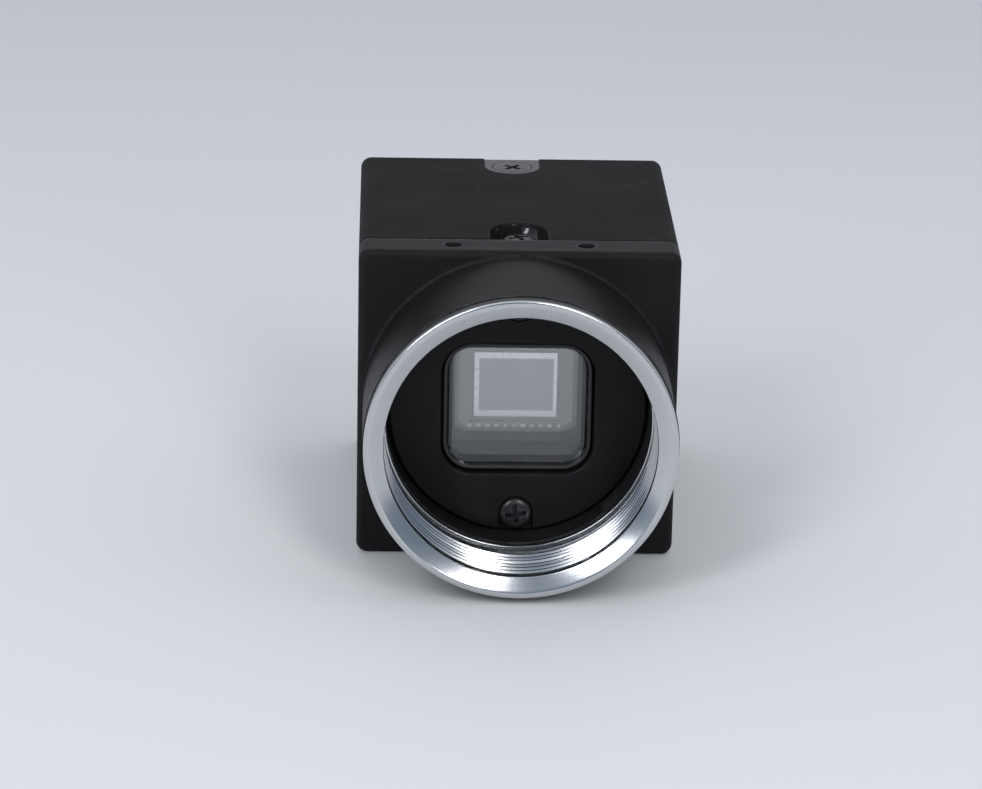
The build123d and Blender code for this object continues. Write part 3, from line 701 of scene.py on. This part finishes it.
def combine(piece: bpy.types.Object, tool: bpy.types.Object, operation: str) -> None:
    """Join a tool to a piece, or cut it away, and remove the tool.

    Args:
        piece: The piece that changes.
        tool: The closed shape.
        operation: UNION or DIFFERENCE.
    """
    joint = piece.modifiers.new("joint", "BOOLEAN")
    joint.operation = operation
    joint.solver = "EXACT"
    joint.object = tool
    bpy.context.view_layer.update()
    bake(piece)
    bpy.data.objects.remove(tool)


def dress_nodes(material: bpy.types.Material, *nodes: str) -> None:
    """Put a material on solids that keep their own shape.

    Args:
        material: The finish.
        nodes: The solids' nodes.
    """
    for node in nodes:
        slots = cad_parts[node].data.materials
        slots.clear()
        slots.append(material)
        LOG.info("%s: dressed", node)


def round_corners(points: list[tuple[float, float, float]], steps: int = 4) -> Profile:
    """Round each corner of an open outline.

    Args:
        points: Station, radius and corner radius of each point.
        steps: Short runs in each rounded corner.

    Returns:
        The outline's points.
    """
    out: Profile = [(points[0][0], points[0][1])]
    for before, here, after in zip(points, points[1:], points[2:]):
        corner = Vector(here[:2])
        back = Vector(before[:2]) - corner
        ahead = Vector(after[:2]) - corner
        reach = min(here[2], back.length * 0.45, ahead.length * 0.45)
        if reach < 1e-4:
            out.append((corner.x, corner.y))
            continue
        start = corner + back.normalized() * reach
        end = corner + ahead.normalized() * reach
        for step in range(steps + 1):
            t = step / steps
            spot = start * (1 - t) ** 2 + corner * 2 * t * (1 - t) + end * t ** 2
            out.append((spot.x, spot.y))
    out.append((points[-1][0], points[-1][1]))
    return out


def lathe(shell: bmesh.types.BMesh, outline: Profile, columns: int,
          spot: Callable[[float, float, float], tuple[float, float, float]]) -> None:
    """Spin an outline round an axis.

    Args:
        shell: The mesh that gets the faces.
        outline: Station on the axis and radius of each point, in millimetres.
        columns: Steps round the axis.
        spot: Gives the place in millimetres of a station, a radius and an angle.
    """
    rows = []
    for column in range(columns):
        angle = math.tau * column / columns
        rows.append([shell.verts.new([c * MM for c in spot(station, r, angle)]) for station, r in outline])
    for column in range(columns):
        left, right = rows[column], rows[(column + 1) % columns]
        for k in range(len(outline) - 1):
            shell.faces.new((left[k], left[k + 1], right[k + 1], right[k]))


def close_shell(shell: bmesh.types.BMesh, mesh: bpy.types.Mesh) -> None:
    """Merge a shell's seams and poles, turn it outwards and write it.

    Args:
        shell: The working mesh, which is freed.
        mesh: The mesh that it is written to.
    """
    bmesh.ops.remove_doubles(shell, verts=shell.verts, dist=2e-6)
    bmesh.ops.dissolve_degenerate(shell, edges=shell.edges, dist=1e-8)
    bmesh.ops.recalc_face_normals(shell, faces=shell.faces)
    shell.to_mesh(mesh)
    shell.free()


@dataclass
class NodeRecipes:
    """Geometry node trees for what repeats or follows a rule."""

    made: dict[str, bpy.types.NodeTree] = field(default_factory=dict)

    def tree(self, name: str) -> bpy.types.NodeTree:
        """Return a tree by name, and build it the first time.

        Args:
            name: thread_strip, screw_places or finger_row.

        Returns:
            The geometry node tree.
        """
        if name not in self.made:
            self.made[name] = getattr(self, name)()
        return self.made[name]

    def run(self, name: str, base: bpy.types.Object, **inputs: object) -> bpy.types.Object:
        """Run a tree on an object and bake the result.

        Args:
            name: The tree's name.
            base: The object whose mesh it works on.
            inputs: A value for each of the tree's inputs, with _ for a space.

        Returns:
            The same object, with the plain mesh.
        """
        tree = self.tree(name)
        maker = base.modifiers.new(name, "NODES")
        maker.node_group = tree
        keys = {item.name: item.identifier for item in tree.interface.items_tree if item.in_out == "INPUT"}
        for label, value in inputs.items():
            maker[keys[label.replace("_", " ")]] = value
        bake(base)
        return base

    def dressed(self, w: Wiring, shape: bpy.types.NodeSocket,
                material: bpy.types.NodeSocket) -> bpy.types.NodeTree:
        """End a tree with real meshes and their material.

        Args:
            w: The tree's wiring.
            shape: The geometry so far.
            material: The material that it gets.

        Returns:
            The finished tree.
        """
        whole = w.add("GeometryNodeRealizeInstances", None, Geometry=shape)
        faced = w.add("GeometryNodeSetMaterial", None, Geometry=whole.outputs[0], Material=material)
        w.add("NodeGroupOutput", None, Geometry=faced.outputs[0])
        return w.tree

    def thread_strip(self) -> bpy.types.NodeTree:
        """Build a helical thread on a cylinder, with plain bands at both of its ends.

        Returns:
            The tree.
        """
        w = make_tree("thread_strip", "GeometryNodeTree",
                      {"Geometry": ("NodeSocketGeometry", None), "Columns": ("NodeSocketInt", 256),
                       "Rows": ("NodeSocketInt", 40), "Pitch": ("NodeSocketFloat", 0.00079375),
                       "Crest Radius": ("NodeSocketFloat", 0.01235), "Depth": ("NodeSocketFloat", 0.00035),
                       "Start": ("NodeSocketFloat", 0.0), "End": ("NodeSocketFloat", 0.005),
                       "Run In": ("NodeSocketFloat", 0.0004), "Run Out": ("NodeSocketFloat", 0.002),
                       "Axis Height": ("NodeSocketFloat", 0.0145), "Material": ("NodeSocketMaterial", None)},
                      {"Geometry": "NodeSocketGeometry"})
        given = w.add("NodeGroupInput").outputs
        grid = w.add("GeometryNodeMeshGrid", None, Size_X=1.0, Size_Y=1.0,
                     Vertices_X=w.sums("ADD", given["Columns"], 1.0), Vertices_Y=given["Rows"])
        spot = w.add("ShaderNodeSeparateXYZ", None, Vector=w.add("GeometryNodeInputPosition").outputs[0])
        round_share = w.sums("ADD", spot.outputs["X"], 0.5)
        angle = w.sums("MULTIPLY", round_share, math.tau)
        row = w.sums("ROUND", w.sums("MULTIPLY", w.sums("ADD", spot.outputs["Y"], 0.5),
                                     w.sums("SUBTRACT", given["Rows"], 1.0)))
        turns = w.sums("ADD", w.sums("SUBTRACT", w.sums("MULTIPLY", row, 0.25), 1.0), round_share)
        free = w.sums("ADD", given["Start"], w.sums("MULTIPLY", turns, given["Pitch"]))
        y = w.sums("MINIMUM", w.sums("MAXIMUM", free, given["Start"]), given["End"])
        root = w.sums("GREATER_THAN", w.sums("MODULO", row, 4.0), 1.5)
        rise = w.sums("DIVIDE", w.sums("SUBTRACT", y, given["Start"]), given["Run In"])
        fall = w.sums("DIVIDE", w.sums("SUBTRACT", given["End"], y), given["Run Out"])
        fade = w.sums("MINIMUM", w.sums("MINIMUM", rise, fall), 1.0)
        depth = w.sums("MULTIPLY", w.sums("MULTIPLY", root, given["Depth"]), w.sums("MAXIMUM", fade, 0.0))
        radius = w.sums("ADD", given["Crest Radius"], depth)
        x = w.sums("MULTIPLY", radius, w.sums("SINE", angle))
        z = w.sums("ADD", given["Axis Height"], w.sums("MULTIPLY", radius, w.sums("COSINE", angle)))
        moved = w.add("GeometryNodeSetPosition", None, Geometry=grid.outputs["Mesh"],
                      Position=w.add("ShaderNodeCombineXYZ", None, X=x, Y=y, Z=z).outputs[0])
        return self.dressed(w, moved.outputs[0], given["Material"])

    def screw_places(self) -> bpy.types.NodeTree:
        """Build copies of one screw, each on its point and turned as its driver left it.

        Returns:
            The tree.
        """
        w = make_tree("screw_places", "GeometryNodeTree",
                      {"Geometry": ("NodeSocketGeometry", None), "Screw": ("NodeSocketObject", None),
                       "Turn Spread": ("NodeSocketFloat", 0.0), "Seed": ("NodeSocketInt", 7),
                       "Size": ("NodeSocketFloat", 1.0), "Material": ("NodeSocketMaterial", None)},
                      {"Geometry": "NodeSocketGeometry"})
        given = w.add("NodeGroupInput").outputs
        facing = w.add("GeometryNodeInputNamedAttribute", {"data_type": "FLOAT_VECTOR"}, Name="facing")
        turn = w.add("GeometryNodeInputNamedAttribute", {"data_type": "FLOAT"}, Name="turn")
        chance = w.add("FunctionNodeRandomValue", {"data_type": "FLOAT"}, Seed=given["Seed"])
        chance.inputs[2].default_value = -1.0
        chance.inputs[3].default_value = 1.0
        spin = w.sums("ADD", turn.outputs[0], w.sums("MULTIPLY", chance.outputs[1], given["Turn Spread"]))
        aim = w.add("FunctionNodeAlignRotationToVector", {"axis": "Z"}, Vector=facing.outputs[0])
        roll = w.add("FunctionNodeEulerToRotation", None,
                     Euler=w.add("ShaderNodeCombineXYZ", None, Z=spin).outputs[0])
        both = w.add("FunctionNodeRotateRotation", {"rotation_space": "LOCAL"}, Rotation=aim.outputs[0],
                     Rotate_By=roll.outputs[0])
        screw = w.add("GeometryNodeObjectInfo", None, Object=given["Screw"])
        copies = w.add("GeometryNodeInstanceOnPoints", None, Points=given["Geometry"],
                       Instance=screw.outputs["Geometry"], Rotation=both.outputs[0], Scale=given["Size"])
        return self.dressed(w, copies.outputs[0], given["Material"])

    def finger_row(self) -> bpy.types.NodeTree:
        """Build a row of thin flat contact fingers, each a little different in length.

        Returns:
            The tree.
        """
        w = make_tree("finger_row", "GeometryNodeTree",
                      {"Geometry": ("NodeSocketGeometry", None), "Count": ("NodeSocketInt", 12),
                       "Pitch": ("NodeSocketFloat", 0.0008), "Width": ("NodeSocketFloat", 0.0004),
                       "Length": ("NodeSocketFloat", 0.0005), "Thickness": ("NodeSocketFloat", 0.00003),
                       "Spread": ("NodeSocketFloat", 0.3), "Seed": ("NodeSocketInt", 3),
                       "Start": ("NodeSocketVector", (0.0, 0.0, 0.0)),
                       "Material": ("NodeSocketMaterial", None)},
                      {"Geometry": "NodeSocketGeometry"})
        given = w.add("NodeGroupInput").outputs
        step = w.add("ShaderNodeCombineXYZ", None, X=given["Pitch"])
        line = w.add("GeometryNodeMeshLine", {"mode": "OFFSET"}, Count=given["Count"],
                     Start_Location=given["Start"], Offset=step.outputs[0])
        size = w.add("ShaderNodeCombineXYZ", None, X=given["Width"], Y=given["Thickness"], Z=given["Length"])
        tile = w.add("GeometryNodeMeshCube", None, Size=size.outputs[0])
        chance = w.add("FunctionNodeRandomValue", {"data_type": "FLOAT"}, Seed=given["Seed"])
        w.feed(chance.inputs[2], w.sums("SUBTRACT", 1.0, given["Spread"]))
        chance.inputs[3].default_value = 1.0
        stretch = w.add("ShaderNodeCombineXYZ", None, X=chance.outputs[1], Y=1.0, Z=1.0)
        copies = w.add("GeometryNodeInstanceOnPoints", None, Points=line.outputs[0], Instance=tile.outputs[0],
                       Scale=stretch.outputs[0])
        return self.dressed(w, copies.outputs[0], given["Material"])


RECIPES = NodeRecipes()


@dataclass
class MountRing:
    """Turned ring with a flange, a sleeve and a fine thread in its bore."""

    face: float = -25.0
    seat: float = -23.75
    rear: float = -16.4
    outer: float = 13.9
    edge: float = 0.25
    sleeve: float = 13.2
    crest: float = 12.1
    dish_radius: float = 13.35
    dish_depth: float = 0.75
    lip: float = 11.95
    lip_length: float = 0.8
    relief: float = 0.5
    relief_depth: float = 0.3
    pitch: float = 0.79375
    thread_depth: float = 0.31
    plain_front: float = 0.25
    plain_rear: float = 0.3
    run_in: float = 0.8
    run_out: float = 0.5
    columns: int = 256

    def outline(self) -> Profile:
        """Return the ring's outline from the thread's front end round to its rear end.

        Returns:
            Station and radius of each point.
        """
        groove = self.rear - self.lip_length
        front = groove - self.relief
        deep = self.crest + self.relief_depth
        return round_corners([
            (self.face + self.dish_depth + self.plain_front, self.crest, 0.0),
            (self.face + self.dish_depth, self.crest, 0.08),
            (self.face, self.dish_radius, 0.15),
            (self.face, self.outer, self.edge),
            (self.seat, self.outer, 0.05),
            (self.seat, self.sleeve, 0.05),
            (self.rear, self.sleeve, 0.1),
            (self.rear, self.lip, 0.1),
            (groove, self.lip, 0.1),
            (groove, deep, 0.06),
            (front, deep, 0.06),
            (front, self.crest, 0.1),
            (front - self.plain_rear, self.crest, 0.0)], 5)

    def build(self) -> bpy.types.Object:
        """Build the ring.

        Returns:
            The ring, in place of its solid.
        """
        ring = link_mesh("mount_ring", bpy.data.meshes.new("mount_ring"))
        start = self.face + self.dish_depth + self.plain_front
        end = self.rear - self.lip_length - self.relief - self.plain_rear
        rows = int(4 * ((end - start) / self.pitch + 2)) + 1
        RECIPES.run("thread_strip", ring, Columns=self.columns, Rows=rows, Pitch=self.pitch * MM,
                    Crest_Radius=self.crest * MM, Depth=self.thread_depth * MM, Start=start * MM,
                    End=end * MM, Run_In=self.run_in * MM, Run_Out=self.run_out * MM, Axis_Height=AXIS_Z * MM,
                    Material=ALUMINIUM.build())
        shell = bmesh.new()
        shell.from_mesh(ring.data)
        lathe(shell, self.outline(), self.columns,
              lambda y, r, angle: (r * math.sin(angle), y, AXIS_Z + r * math.cos(angle)))
        close_shell(shell, ring.data)
        settle(ring, 35.0)
        return finish_piece(ring, ALUMINIUM.build(), "housing", "bare_aluminium", "lens_mount_ring")


@dataclass
class Housing:
    """Cast front, cover with shallow rear flats, and rear panel."""

    half_height: float = 14.5
    flat_step: float = 0.13
    flat_depth: float = 1.9
    flat_centre: float = 15.45
    flat_radius: float = 2.85
    flat_rear: float = 17.97
    sink_radius: float = 1.95
    sink_rim: float = 0.05
    sink_depth: float = 0.8
    hole_radius: float = 1.15
    hole_depth: float = 2.5
    columns: int = 48

    def prism(self, name: str, side: int, rows: list[tuple[float, Profile]]) -> bpy.types.Object:
        """Join outlines at several depths under a face of the cover into a closed shape.

        Args:
            name: The shape's name.
            side: 1 under the top face, -1 over the base.
            rows: Depth in millimetres, and the outline as X and Y, all with as many points.

        Returns:
            The shape.
        """
        shell = bmesh.new()
        rings = [[shell.verts.new((x * MM, y * MM, (AXIS_Z + side * (self.half_height - depth)) * MM))
                  for x, y in outline] for depth, outline in rows]
        shell.faces.new(rings[0])
        shell.faces.new(rings[-1])
        for upper, lower in zip(rings, rings[1:]):
            for k in range(len(upper)):
                after = (k + 1) % len(upper)
                shell.faces.new((upper[k], upper[after], lower[after], lower[k]))
        mesh = bpy.data.meshes.new(name)
        close_shell(shell, mesh)
        return link_mesh(name, mesh)

    def rear_flat(self, side: int) -> bpy.types.Object:
        """Build the flat round a rear screw, with the sunk seat of its head.

        Args:
            side: 1 on the top face, -1 on the base.

        Returns:
            The flat as a closed block that fills the solid's deeper pocket.
        """
        arc = [math.pi * (1.0 + k / self.columns) for k in range(self.columns + 1)]
        tongue = [(self.flat_radius * math.cos(a), self.flat_centre + self.flat_radius * math.sin(a))
                  for a in arc]
        tongue += [(self.flat_radius, self.flat_rear), (-self.flat_radius, self.flat_rear)]
        block = self.prism("rear_flat", side, [(self.flat_step, tongue), (self.flat_depth, tongue)])
        turn = [math.tau * k / self.columns for k in range(self.columns)]
        rows = []
        for depth, radius in ((0.0, self.sink_radius), (self.flat_step + self.sink_rim, self.sink_radius),
                              (self.flat_step + self.sink_depth, self.hole_radius),
                              (self.hole_depth, self.hole_radius)):
            rows.append((depth, [(radius * math.cos(a), self.flat_centre + radius * math.sin(a))
                                 for a in turn]))
        combine(block, self.prism("screw_seat", side, rows), "DIFFERENCE")
        return block

    def build(self) -> None:
        """Build the three black pieces."""
        dress_copy("front_frame", "front_casting", CASTING.build(), "black_casting")
        cover = merged_copy("cover", "cover_shell")
        for side in (1, -1):
            combine(cover, self.rear_flat(side), "UNION")
        settle(cover, 28.0, weighted=True)
        finish_piece(cover, COVER.build(), "housing", "black_cover", "cover")
        dress_copy("rear_panel", "rear_plate", PANEL.build(), "black_casting")


@dataclass(frozen=True)
class ScrewHead:
    """Outline and cross of one kind of screw, with its seat at height 0."""

    name: str
    outline: Outline
    top: float
    span: float
    slot: float = 0.46
    depth: float = 0.75


PAN_HEAD = ScrewHead("pan_head_screw", (
    (0.95, 0.0, 0.0), (0.90, 1.10, 0.2), (0.74, 1.39, 0.25), (0.55, 1.45, 0.12), (0.0, 1.45, 0.05),
    (0.0, 1.0, 0.03), (-2.6, 1.0, 0.1), (-2.6, 0.0, 0.0)), 0.95, 1.9)
FLUSH_HEAD = ScrewHead("flush_head_screw", (
    (0.0, 0.0, 0.0), (0.0, 1.86, 0.1), (-0.12, 1.9, 0.05), (-0.75, 1.0, 0.1),
    (-3.6, 1.0, 0.1), (-3.6, 0.0, 0.0)), 0.0, 1.85)


@dataclass
class Fasteners:
    """Cross-head screws of the sensor holder and the cover."""

    columns: int = 64
    holder_offset: float = 9.93
    holder_seat: float = -13.4
    front_place: float = -5.95
    front_seat: float = 27.45
    rear_place: float = 15.45
    rear_seat: float = 28.87
    body_height: float = 29.0
    turn_spread: float = 1.5
    seed: int = 7

    def pattern(self, head: ScrewHead) -> bpy.types.Object:
        """Build one screw, head up on its seat at the origin.

        Args:
            head: The kind of screw.

        Returns:
            The screw that the others are copies of.
        """
        outline = round_corners(list(head.outline), 5)
        screw = link_mesh(head.name, bpy.data.meshes.new(head.name))
        shell = bmesh.new()
        lathe(shell, outline, self.columns, lambda h, r, angle: (r * math.cos(angle), r * math.sin(angle), h))
        close_shell(shell, screw.data)
        for turn in (0.0, math.pi / 2):
            combine(screw, self.recess_arm(head, turn), "DIFFERENCE")
        return settle(screw, 32.0)

    def recess_arm(self, head: ScrewHead, turn: float) -> bpy.types.Object:
        """Build the tapered cutter of one arm of the cross.

        Args:
            head: The kind of screw.
            turn: The arm's angle in radians.

        Returns:
            The cutter.
        """
        shell = bmesh.new()
        levels = []
        for level, grow in ((head.top + 0.2, 0.06), (head.top - head.depth, -0.10)):
            half, thin = head.span / 2 + grow, head.slot / 2 + grow * 0.6
            corners = []
            for x, y in ((half, thin), (-half, thin), (-half, -thin), (half, -thin)):
                spot = (x * math.cos(turn) - y * math.sin(turn), x * math.sin(turn) + y * math.cos(turn))
                corners.append(shell.verts.new((spot[0] * MM, spot[1] * MM, level * MM)))
            levels.append(corners)
        shell.faces.new(levels[0])
        shell.faces.new(levels[1])
        for k in range(4):
            shell.faces.new((levels[0][k], levels[0][(k + 1) % 4], levels[1][(k + 1) % 4], levels[1][k]))
        mesh = bpy.data.meshes.new("recess_arm")
        close_shell(shell, mesh)
        return link_mesh("recess_arm", mesh)

    def place(self, name: str, head: ScrewHead, spots: list[tuple[Vector, Face, float]],
              *nodes: str) -> None:
        """Set copies of a screw at their places.

        Args:
            name: The new piece's name.
            head: The kind of screw.
            spots: Seat in millimetres, face and turn in degrees of each screw.
            nodes: The solids that the screws replace.
        """
        mesh = bpy.data.meshes.new(name)
        mesh.from_pydata([spot * MM for spot, _, _ in spots], [], [])
        facing = mesh.attributes.new("facing", "FLOAT_VECTOR", "POINT")
        facing.data.foreach_set("vector", [c for _, face, _ in spots for c in face.value])
        turn = mesh.attributes.new("turn", "FLOAT", "POINT")
        turn.data.foreach_set("value", [math.radians(angle) for _, _, angle in spots])
        group = link_mesh(name, mesh)
        pattern = self.pattern(head)
        RECIPES.run("screw_places", group, Screw=pattern, Turn_Spread=math.radians(self.turn_spread),
                    Seed=self.seed, Size=1.0, Material=SCREW.build())
        bpy.data.objects.remove(pattern)
        settle(group, 32.0)
        finish_piece(group, SCREW.build(), "housing", "black_screw", *nodes)

    def pair(self, place: float, seat: float,
             turns: tuple[float, float]) -> list[tuple[Vector, Face, float]]:
        """Return the places of one screw on the top face and one on the base.

        Args:
            place: Their station along the body.
            seat: Height of the upper screw's seat.
            turns: Turn in degrees of the upper and the lower screw.

        Returns:
            The two places.
        """
        return [(Vector((0.0, place, seat)), Face.TOP, turns[0]),
                (Vector((0.0, place, self.body_height - seat)), Face.BASE, turns[1])]

    def build(self) -> None:
        """Build the holder's two screws and the cover's four."""
        holder = [(Vector((0.0, self.holder_seat, AXIS_Z + side * self.holder_offset)), Face.FRONT, angle)
                  for side, angle in ((1, 31.0), (-1, 8.0))]
        self.place("holder_screw_pair", PAN_HEAD, holder, "holder_screws")
        self.place("cover_screws_front", PAN_HEAD,
                   self.pair(self.front_place, self.front_seat, (24.0, 48.0)), "cover_screws")
        self.place("cover_screws_rear", FLUSH_HEAD, self.pair(self.rear_place, self.rear_seat, (48.0, 20.0)))


@dataclass
class SensorWindow:
    """Black holder at the bottom of the well, with the filter glass in its rubber seal."""

    def build(self) -> None:
        """Build the holder, the seal and the glass."""
        dress_copy("sensor_holder", "window_holder", ANODISED.build(), "black_anodised")
        dress_copy("window_seal", "glass_seal", SEAL.build(), "seal_rubber", sharp_degrees=40.0)
        dress_copy("filter_glass", "filter_pane", FILTER_FILM.build(), "filter_glass", sharp_degrees=40.0)


@dataclass
class ImageSensor:
    """Ceramic package with its die, bond fingers and lid."""

    shelf: float = -6.89
    finger_low: float = 10.5
    finger_high: float = 18.58
    finger_left: float = -5.0
    finger_pitch: float = 0.82
    finger_count: int = 13
    finger_width: float = 0.5
    finger_length: float = 0.34
    finger_thickness: float = 0.03
    finger_spread: float = 0.55

    def build(self) -> None:
        """Dress the package and die, and build the rows of bond fingers."""
        dress_copy("sensor_package", "ceramic_package", CERAMIC.build(), "grey_ceramic")
        dress_nodes(SiliconDie().build(), "sensor_die")
        dress_copy("package_glass", "package_lid", LID_FILM.build(), "lid_glass", sharp_degrees=40.0)
        dress_nodes(GOLD.build(), "package_pins")
        for name, height, seed in (("bond_fingers_low", self.finger_low, 3),
                                   ("bond_fingers_high", self.finger_high, 5)):
            row = link_mesh(name, bpy.data.meshes.new(name))
            RECIPES.run("finger_row", row, Count=self.finger_count, Pitch=self.finger_pitch * MM,
                        Width=self.finger_width * MM, Length=self.finger_length * MM,
                        Thickness=self.finger_thickness * MM, Spread=self.finger_spread, Seed=seed,
                        Start=(self.finger_left * MM, (self.shelf - self.finger_thickness / 2) * MM,
                               height * MM),
                        Material=FINGERS.build())
            finish_piece(row, FINGERS.build(), "housing", "gold_plate")


@dataclass
class RearConnector:
    """Round connector, its nut, insert and contacts."""

    def build(self) -> None:
        """Dress the connector's pieces."""
        dress_copy("connector_shell", "connector_barrel", NICKEL.build(), "nickel")
        dress_copy("connector_nut", "connector_hex_nut", NICKEL.build(), "nickel")
        dress_copy("connector_insert", "connector_core", INSERT.build(), "insert_black")
        dress_copy("connector_contacts", "connector_pins", GOLD.build(), "gold_plate")


@dataclass
class Controls:
    """Setting switches, side switches and gain trimmer behind."""

    setting_count: int = 10

    def build(self) -> None:
        """Dress the controls; the trimmer's rotor goes on its own body."""
        dress_nodes(SWITCH_BLACK.build(), "setting_switch_body", "termination_switch_body",
                    "sync_switch_body")
        sliders = [f"setting_switch_slider_{place + 1}" for place in range(self.setting_count)]
        dress_nodes(SWITCH_WHITE.build(), *sliders, "termination_switch_slider", "sync_switch_slider")
        dress_nodes(TRIMMER_BLUE.build(), "gain_trimmer_body")
        dress_copy("gain_trimmer_rotor", "gain_rotor_cap", TRIMMER_WHITE.build(), "trimmer_white",
                   "gain_rotor")


@dataclass
class Boards:
    """Circuit boards and what holds them, inside the shell."""

    def build(self) -> None:
        """Dress the inner pieces."""
        dress_nodes(BOARD.build(), "sensor_board", "process_board", "io_board", "switch_board")
        dress_nodes(CHIP.build(), "processor_chip", "driver_chips", "board_headers", "link_header")
        dress_nodes(BRASS.build(), "board_spacers")
        dress_nodes(STEEL.build(), "stack_screws", "switch_board_screws")


@dataclass
class Studio:
    """Pale floor, soft lights and the camera at the photograph's angle."""

    camera_place: tuple[float, float, float] = (-0.012366, -0.358284, 0.136005)
    forward: tuple[float, float, float] = (0.02719189, 0.94392511, -0.32903796)
    upward: tuple[float, float, float] = (-0.01066768, 0.32941494, 0.94412499)
    lens: float = 148.3
    sensor: float = 36.0
    floor_size: float = 6.0
    # The darker far colour of the floor is painted shade.
    shade_fade_depth: float = 0.20
    floor_near: Colour = (0.70, 0.708, 0.722)
    floor_far_shaded: Colour = (0.60, 0.605, 0.64)
    sky_colour: Colour = (0.68, 0.70, 0.74)
    room_colour: Colour = (0.19, 0.245, 0.32)

    def floor(self) -> None:
        """Build the floor, with a faint mottle in its paper and painted shade that darkens it towards the
        back.
        """
        shell = bmesh.new()
        bmesh.ops.create_grid(shell, x_segments=4, y_segments=4, size=self.floor_size / 2)
        mesh = bpy.data.meshes.new("studio_floor")
        shell.to_mesh(mesh)
        shell.free()
        floor = link_mesh("studio_floor", mesh)
        material, w, shader = new_material("floor_paper")
        grain = EFFECTS.use(w, "fine_grain", Scale=2500.0, Cloud_Scale=6.0)
        # Painted shade: the floor's colour darkens from near to far, standing in for the light falling off.
        depth = w.ramp(w.parts()["Y"], 0.0, self.shade_fade_depth, 0.0, 1.0)
        mottle = w.sums("MULTIPLY", w.sums("SUBTRACT", grain.outputs["Cloud"], 0.5), 0.06)
        w.feed(shader.inputs["Base Color"], w.blend(w.sums("ADD", depth, mottle), (*self.floor_near, 1.0),
                                                    (*self.floor_far_shaded, 1.0)))
        shader.inputs["Roughness"].default_value = 0.6
        shader.inputs["Specular IOR Level"].default_value = 0.2
        mesh.materials.append(material)

    def world(self) -> None:
        """Light the scene from a pale sky, with a darker room before the camera."""
        world = bpy.data.worlds.new("studio_air")
        bpy.context.scene.world = world
        world.use_nodes = True
        w = Wiring(world.node_tree)
        world.node_tree.nodes.clear()
        aim = w.add("ShaderNodeSeparateXYZ", None, Vector=w.add("ShaderNodeTexCoord").outputs["Generated"])
        ahead = w.ramp(aim.outputs["Y"], -0.50, 0.0, 1.0, 0.0)
        level = w.ramp(aim.outputs["Z"], 0.80, 0.95, 1.0, 0.0)
        colour = w.blend(w.sums("MULTIPLY", ahead, level), (*self.sky_colour, 1.0), (*self.room_colour, 1.0))
        air = w.add("ShaderNodeBackground", None, Color=colour, Strength=1.0)
        w.feed(w.add("ShaderNodeOutputWorld").inputs["Surface"], air.outputs[0])

    def lamp(self, name: str, place: Vector, aim: Vector, size: tuple[float, float], power: float,
             colour: Colour) -> None:
        """Hang one soft rectangular lamp.

        Args:
            name: The lamp's name.
            place: Where it hangs, in metres.
            aim: What it points at, in metres.
            size: Width and height in metres.
            power: Watts.
            colour: Its light's colour.
        """
        light = bpy.data.lights.new(name, "AREA")
        light.shape = "RECTANGLE"
        light.size, light.size_y = size
        light.energy = power
        light.color = colour
        lamp = bpy.data.objects.new(name, light)
        bpy.context.scene.collection.objects.link(lamp)
        lamp.location = place
        lamp.rotation_mode = "QUATERNION"
        lamp.rotation_quaternion = (aim - place).to_track_quat("-Z", "Y")

    def camera(self) -> None:
        """Set the camera at the photograph's angle."""
        lens = bpy.data.cameras.new("photo_camera")
        lens.lens = self.lens
        lens.sensor_width = self.sensor
        lens.sensor_fit = "HORIZONTAL"
        lens.clip_start = 0.01
        camera = bpy.data.objects.new("photo_camera", lens)
        bpy.context.scene.collection.objects.link(camera)
        forward = Vector(self.forward).normalized()
        right = forward.cross(Vector(self.upward)).normalized()
        up = right.cross(forward)
        turn = camera.matrix_world.to_3x3()
        for row in range(3):
            turn[row] = (right[row], up[row], -forward[row])
        camera.matrix_world = turn.to_4x4()
        camera.location = self.camera_place
        bpy.context.scene.camera = camera

    def build(self) -> None:
        """Build the floor, the air, the lamps and the camera."""
        bpy.context.scene.view_settings.view_transform = "Standard"
        self.floor()
        self.world()
        middle = Vector((0.0, 0.0, 0.015))
        self.lamp("left_window", Vector((-0.42, -0.58, 0.50)), middle, (0.16, 0.62), 2.9, (0.98, 0.99, 1.0))
        self.lamp("right_window", Vector((0.25, -0.68, 0.50)), middle, (0.16, 0.62), 2.9, (1.0, 0.99, 0.97))
        self.lamp("ceiling", Vector((0.0, 0.10, 1.1)), middle, (1.0, 0.8), 0.8, (0.96, 0.98, 1.0))
        self.camera()


def main() -> None:
    """Build the studio, then build and dress every piece."""
    logging.basicConfig(level=logging.INFO, format="%(name)s: %(message)s")
    Studio().build()
    for part in (Housing(), MountRing(), SensorWindow(), ImageSensor(), Fasteners(), RearConnector(),
                 Controls(), Boards()):
        part.build()
        LOG.info("%s done", type(part).__name__)


if __name__ == "__main__":
    main()
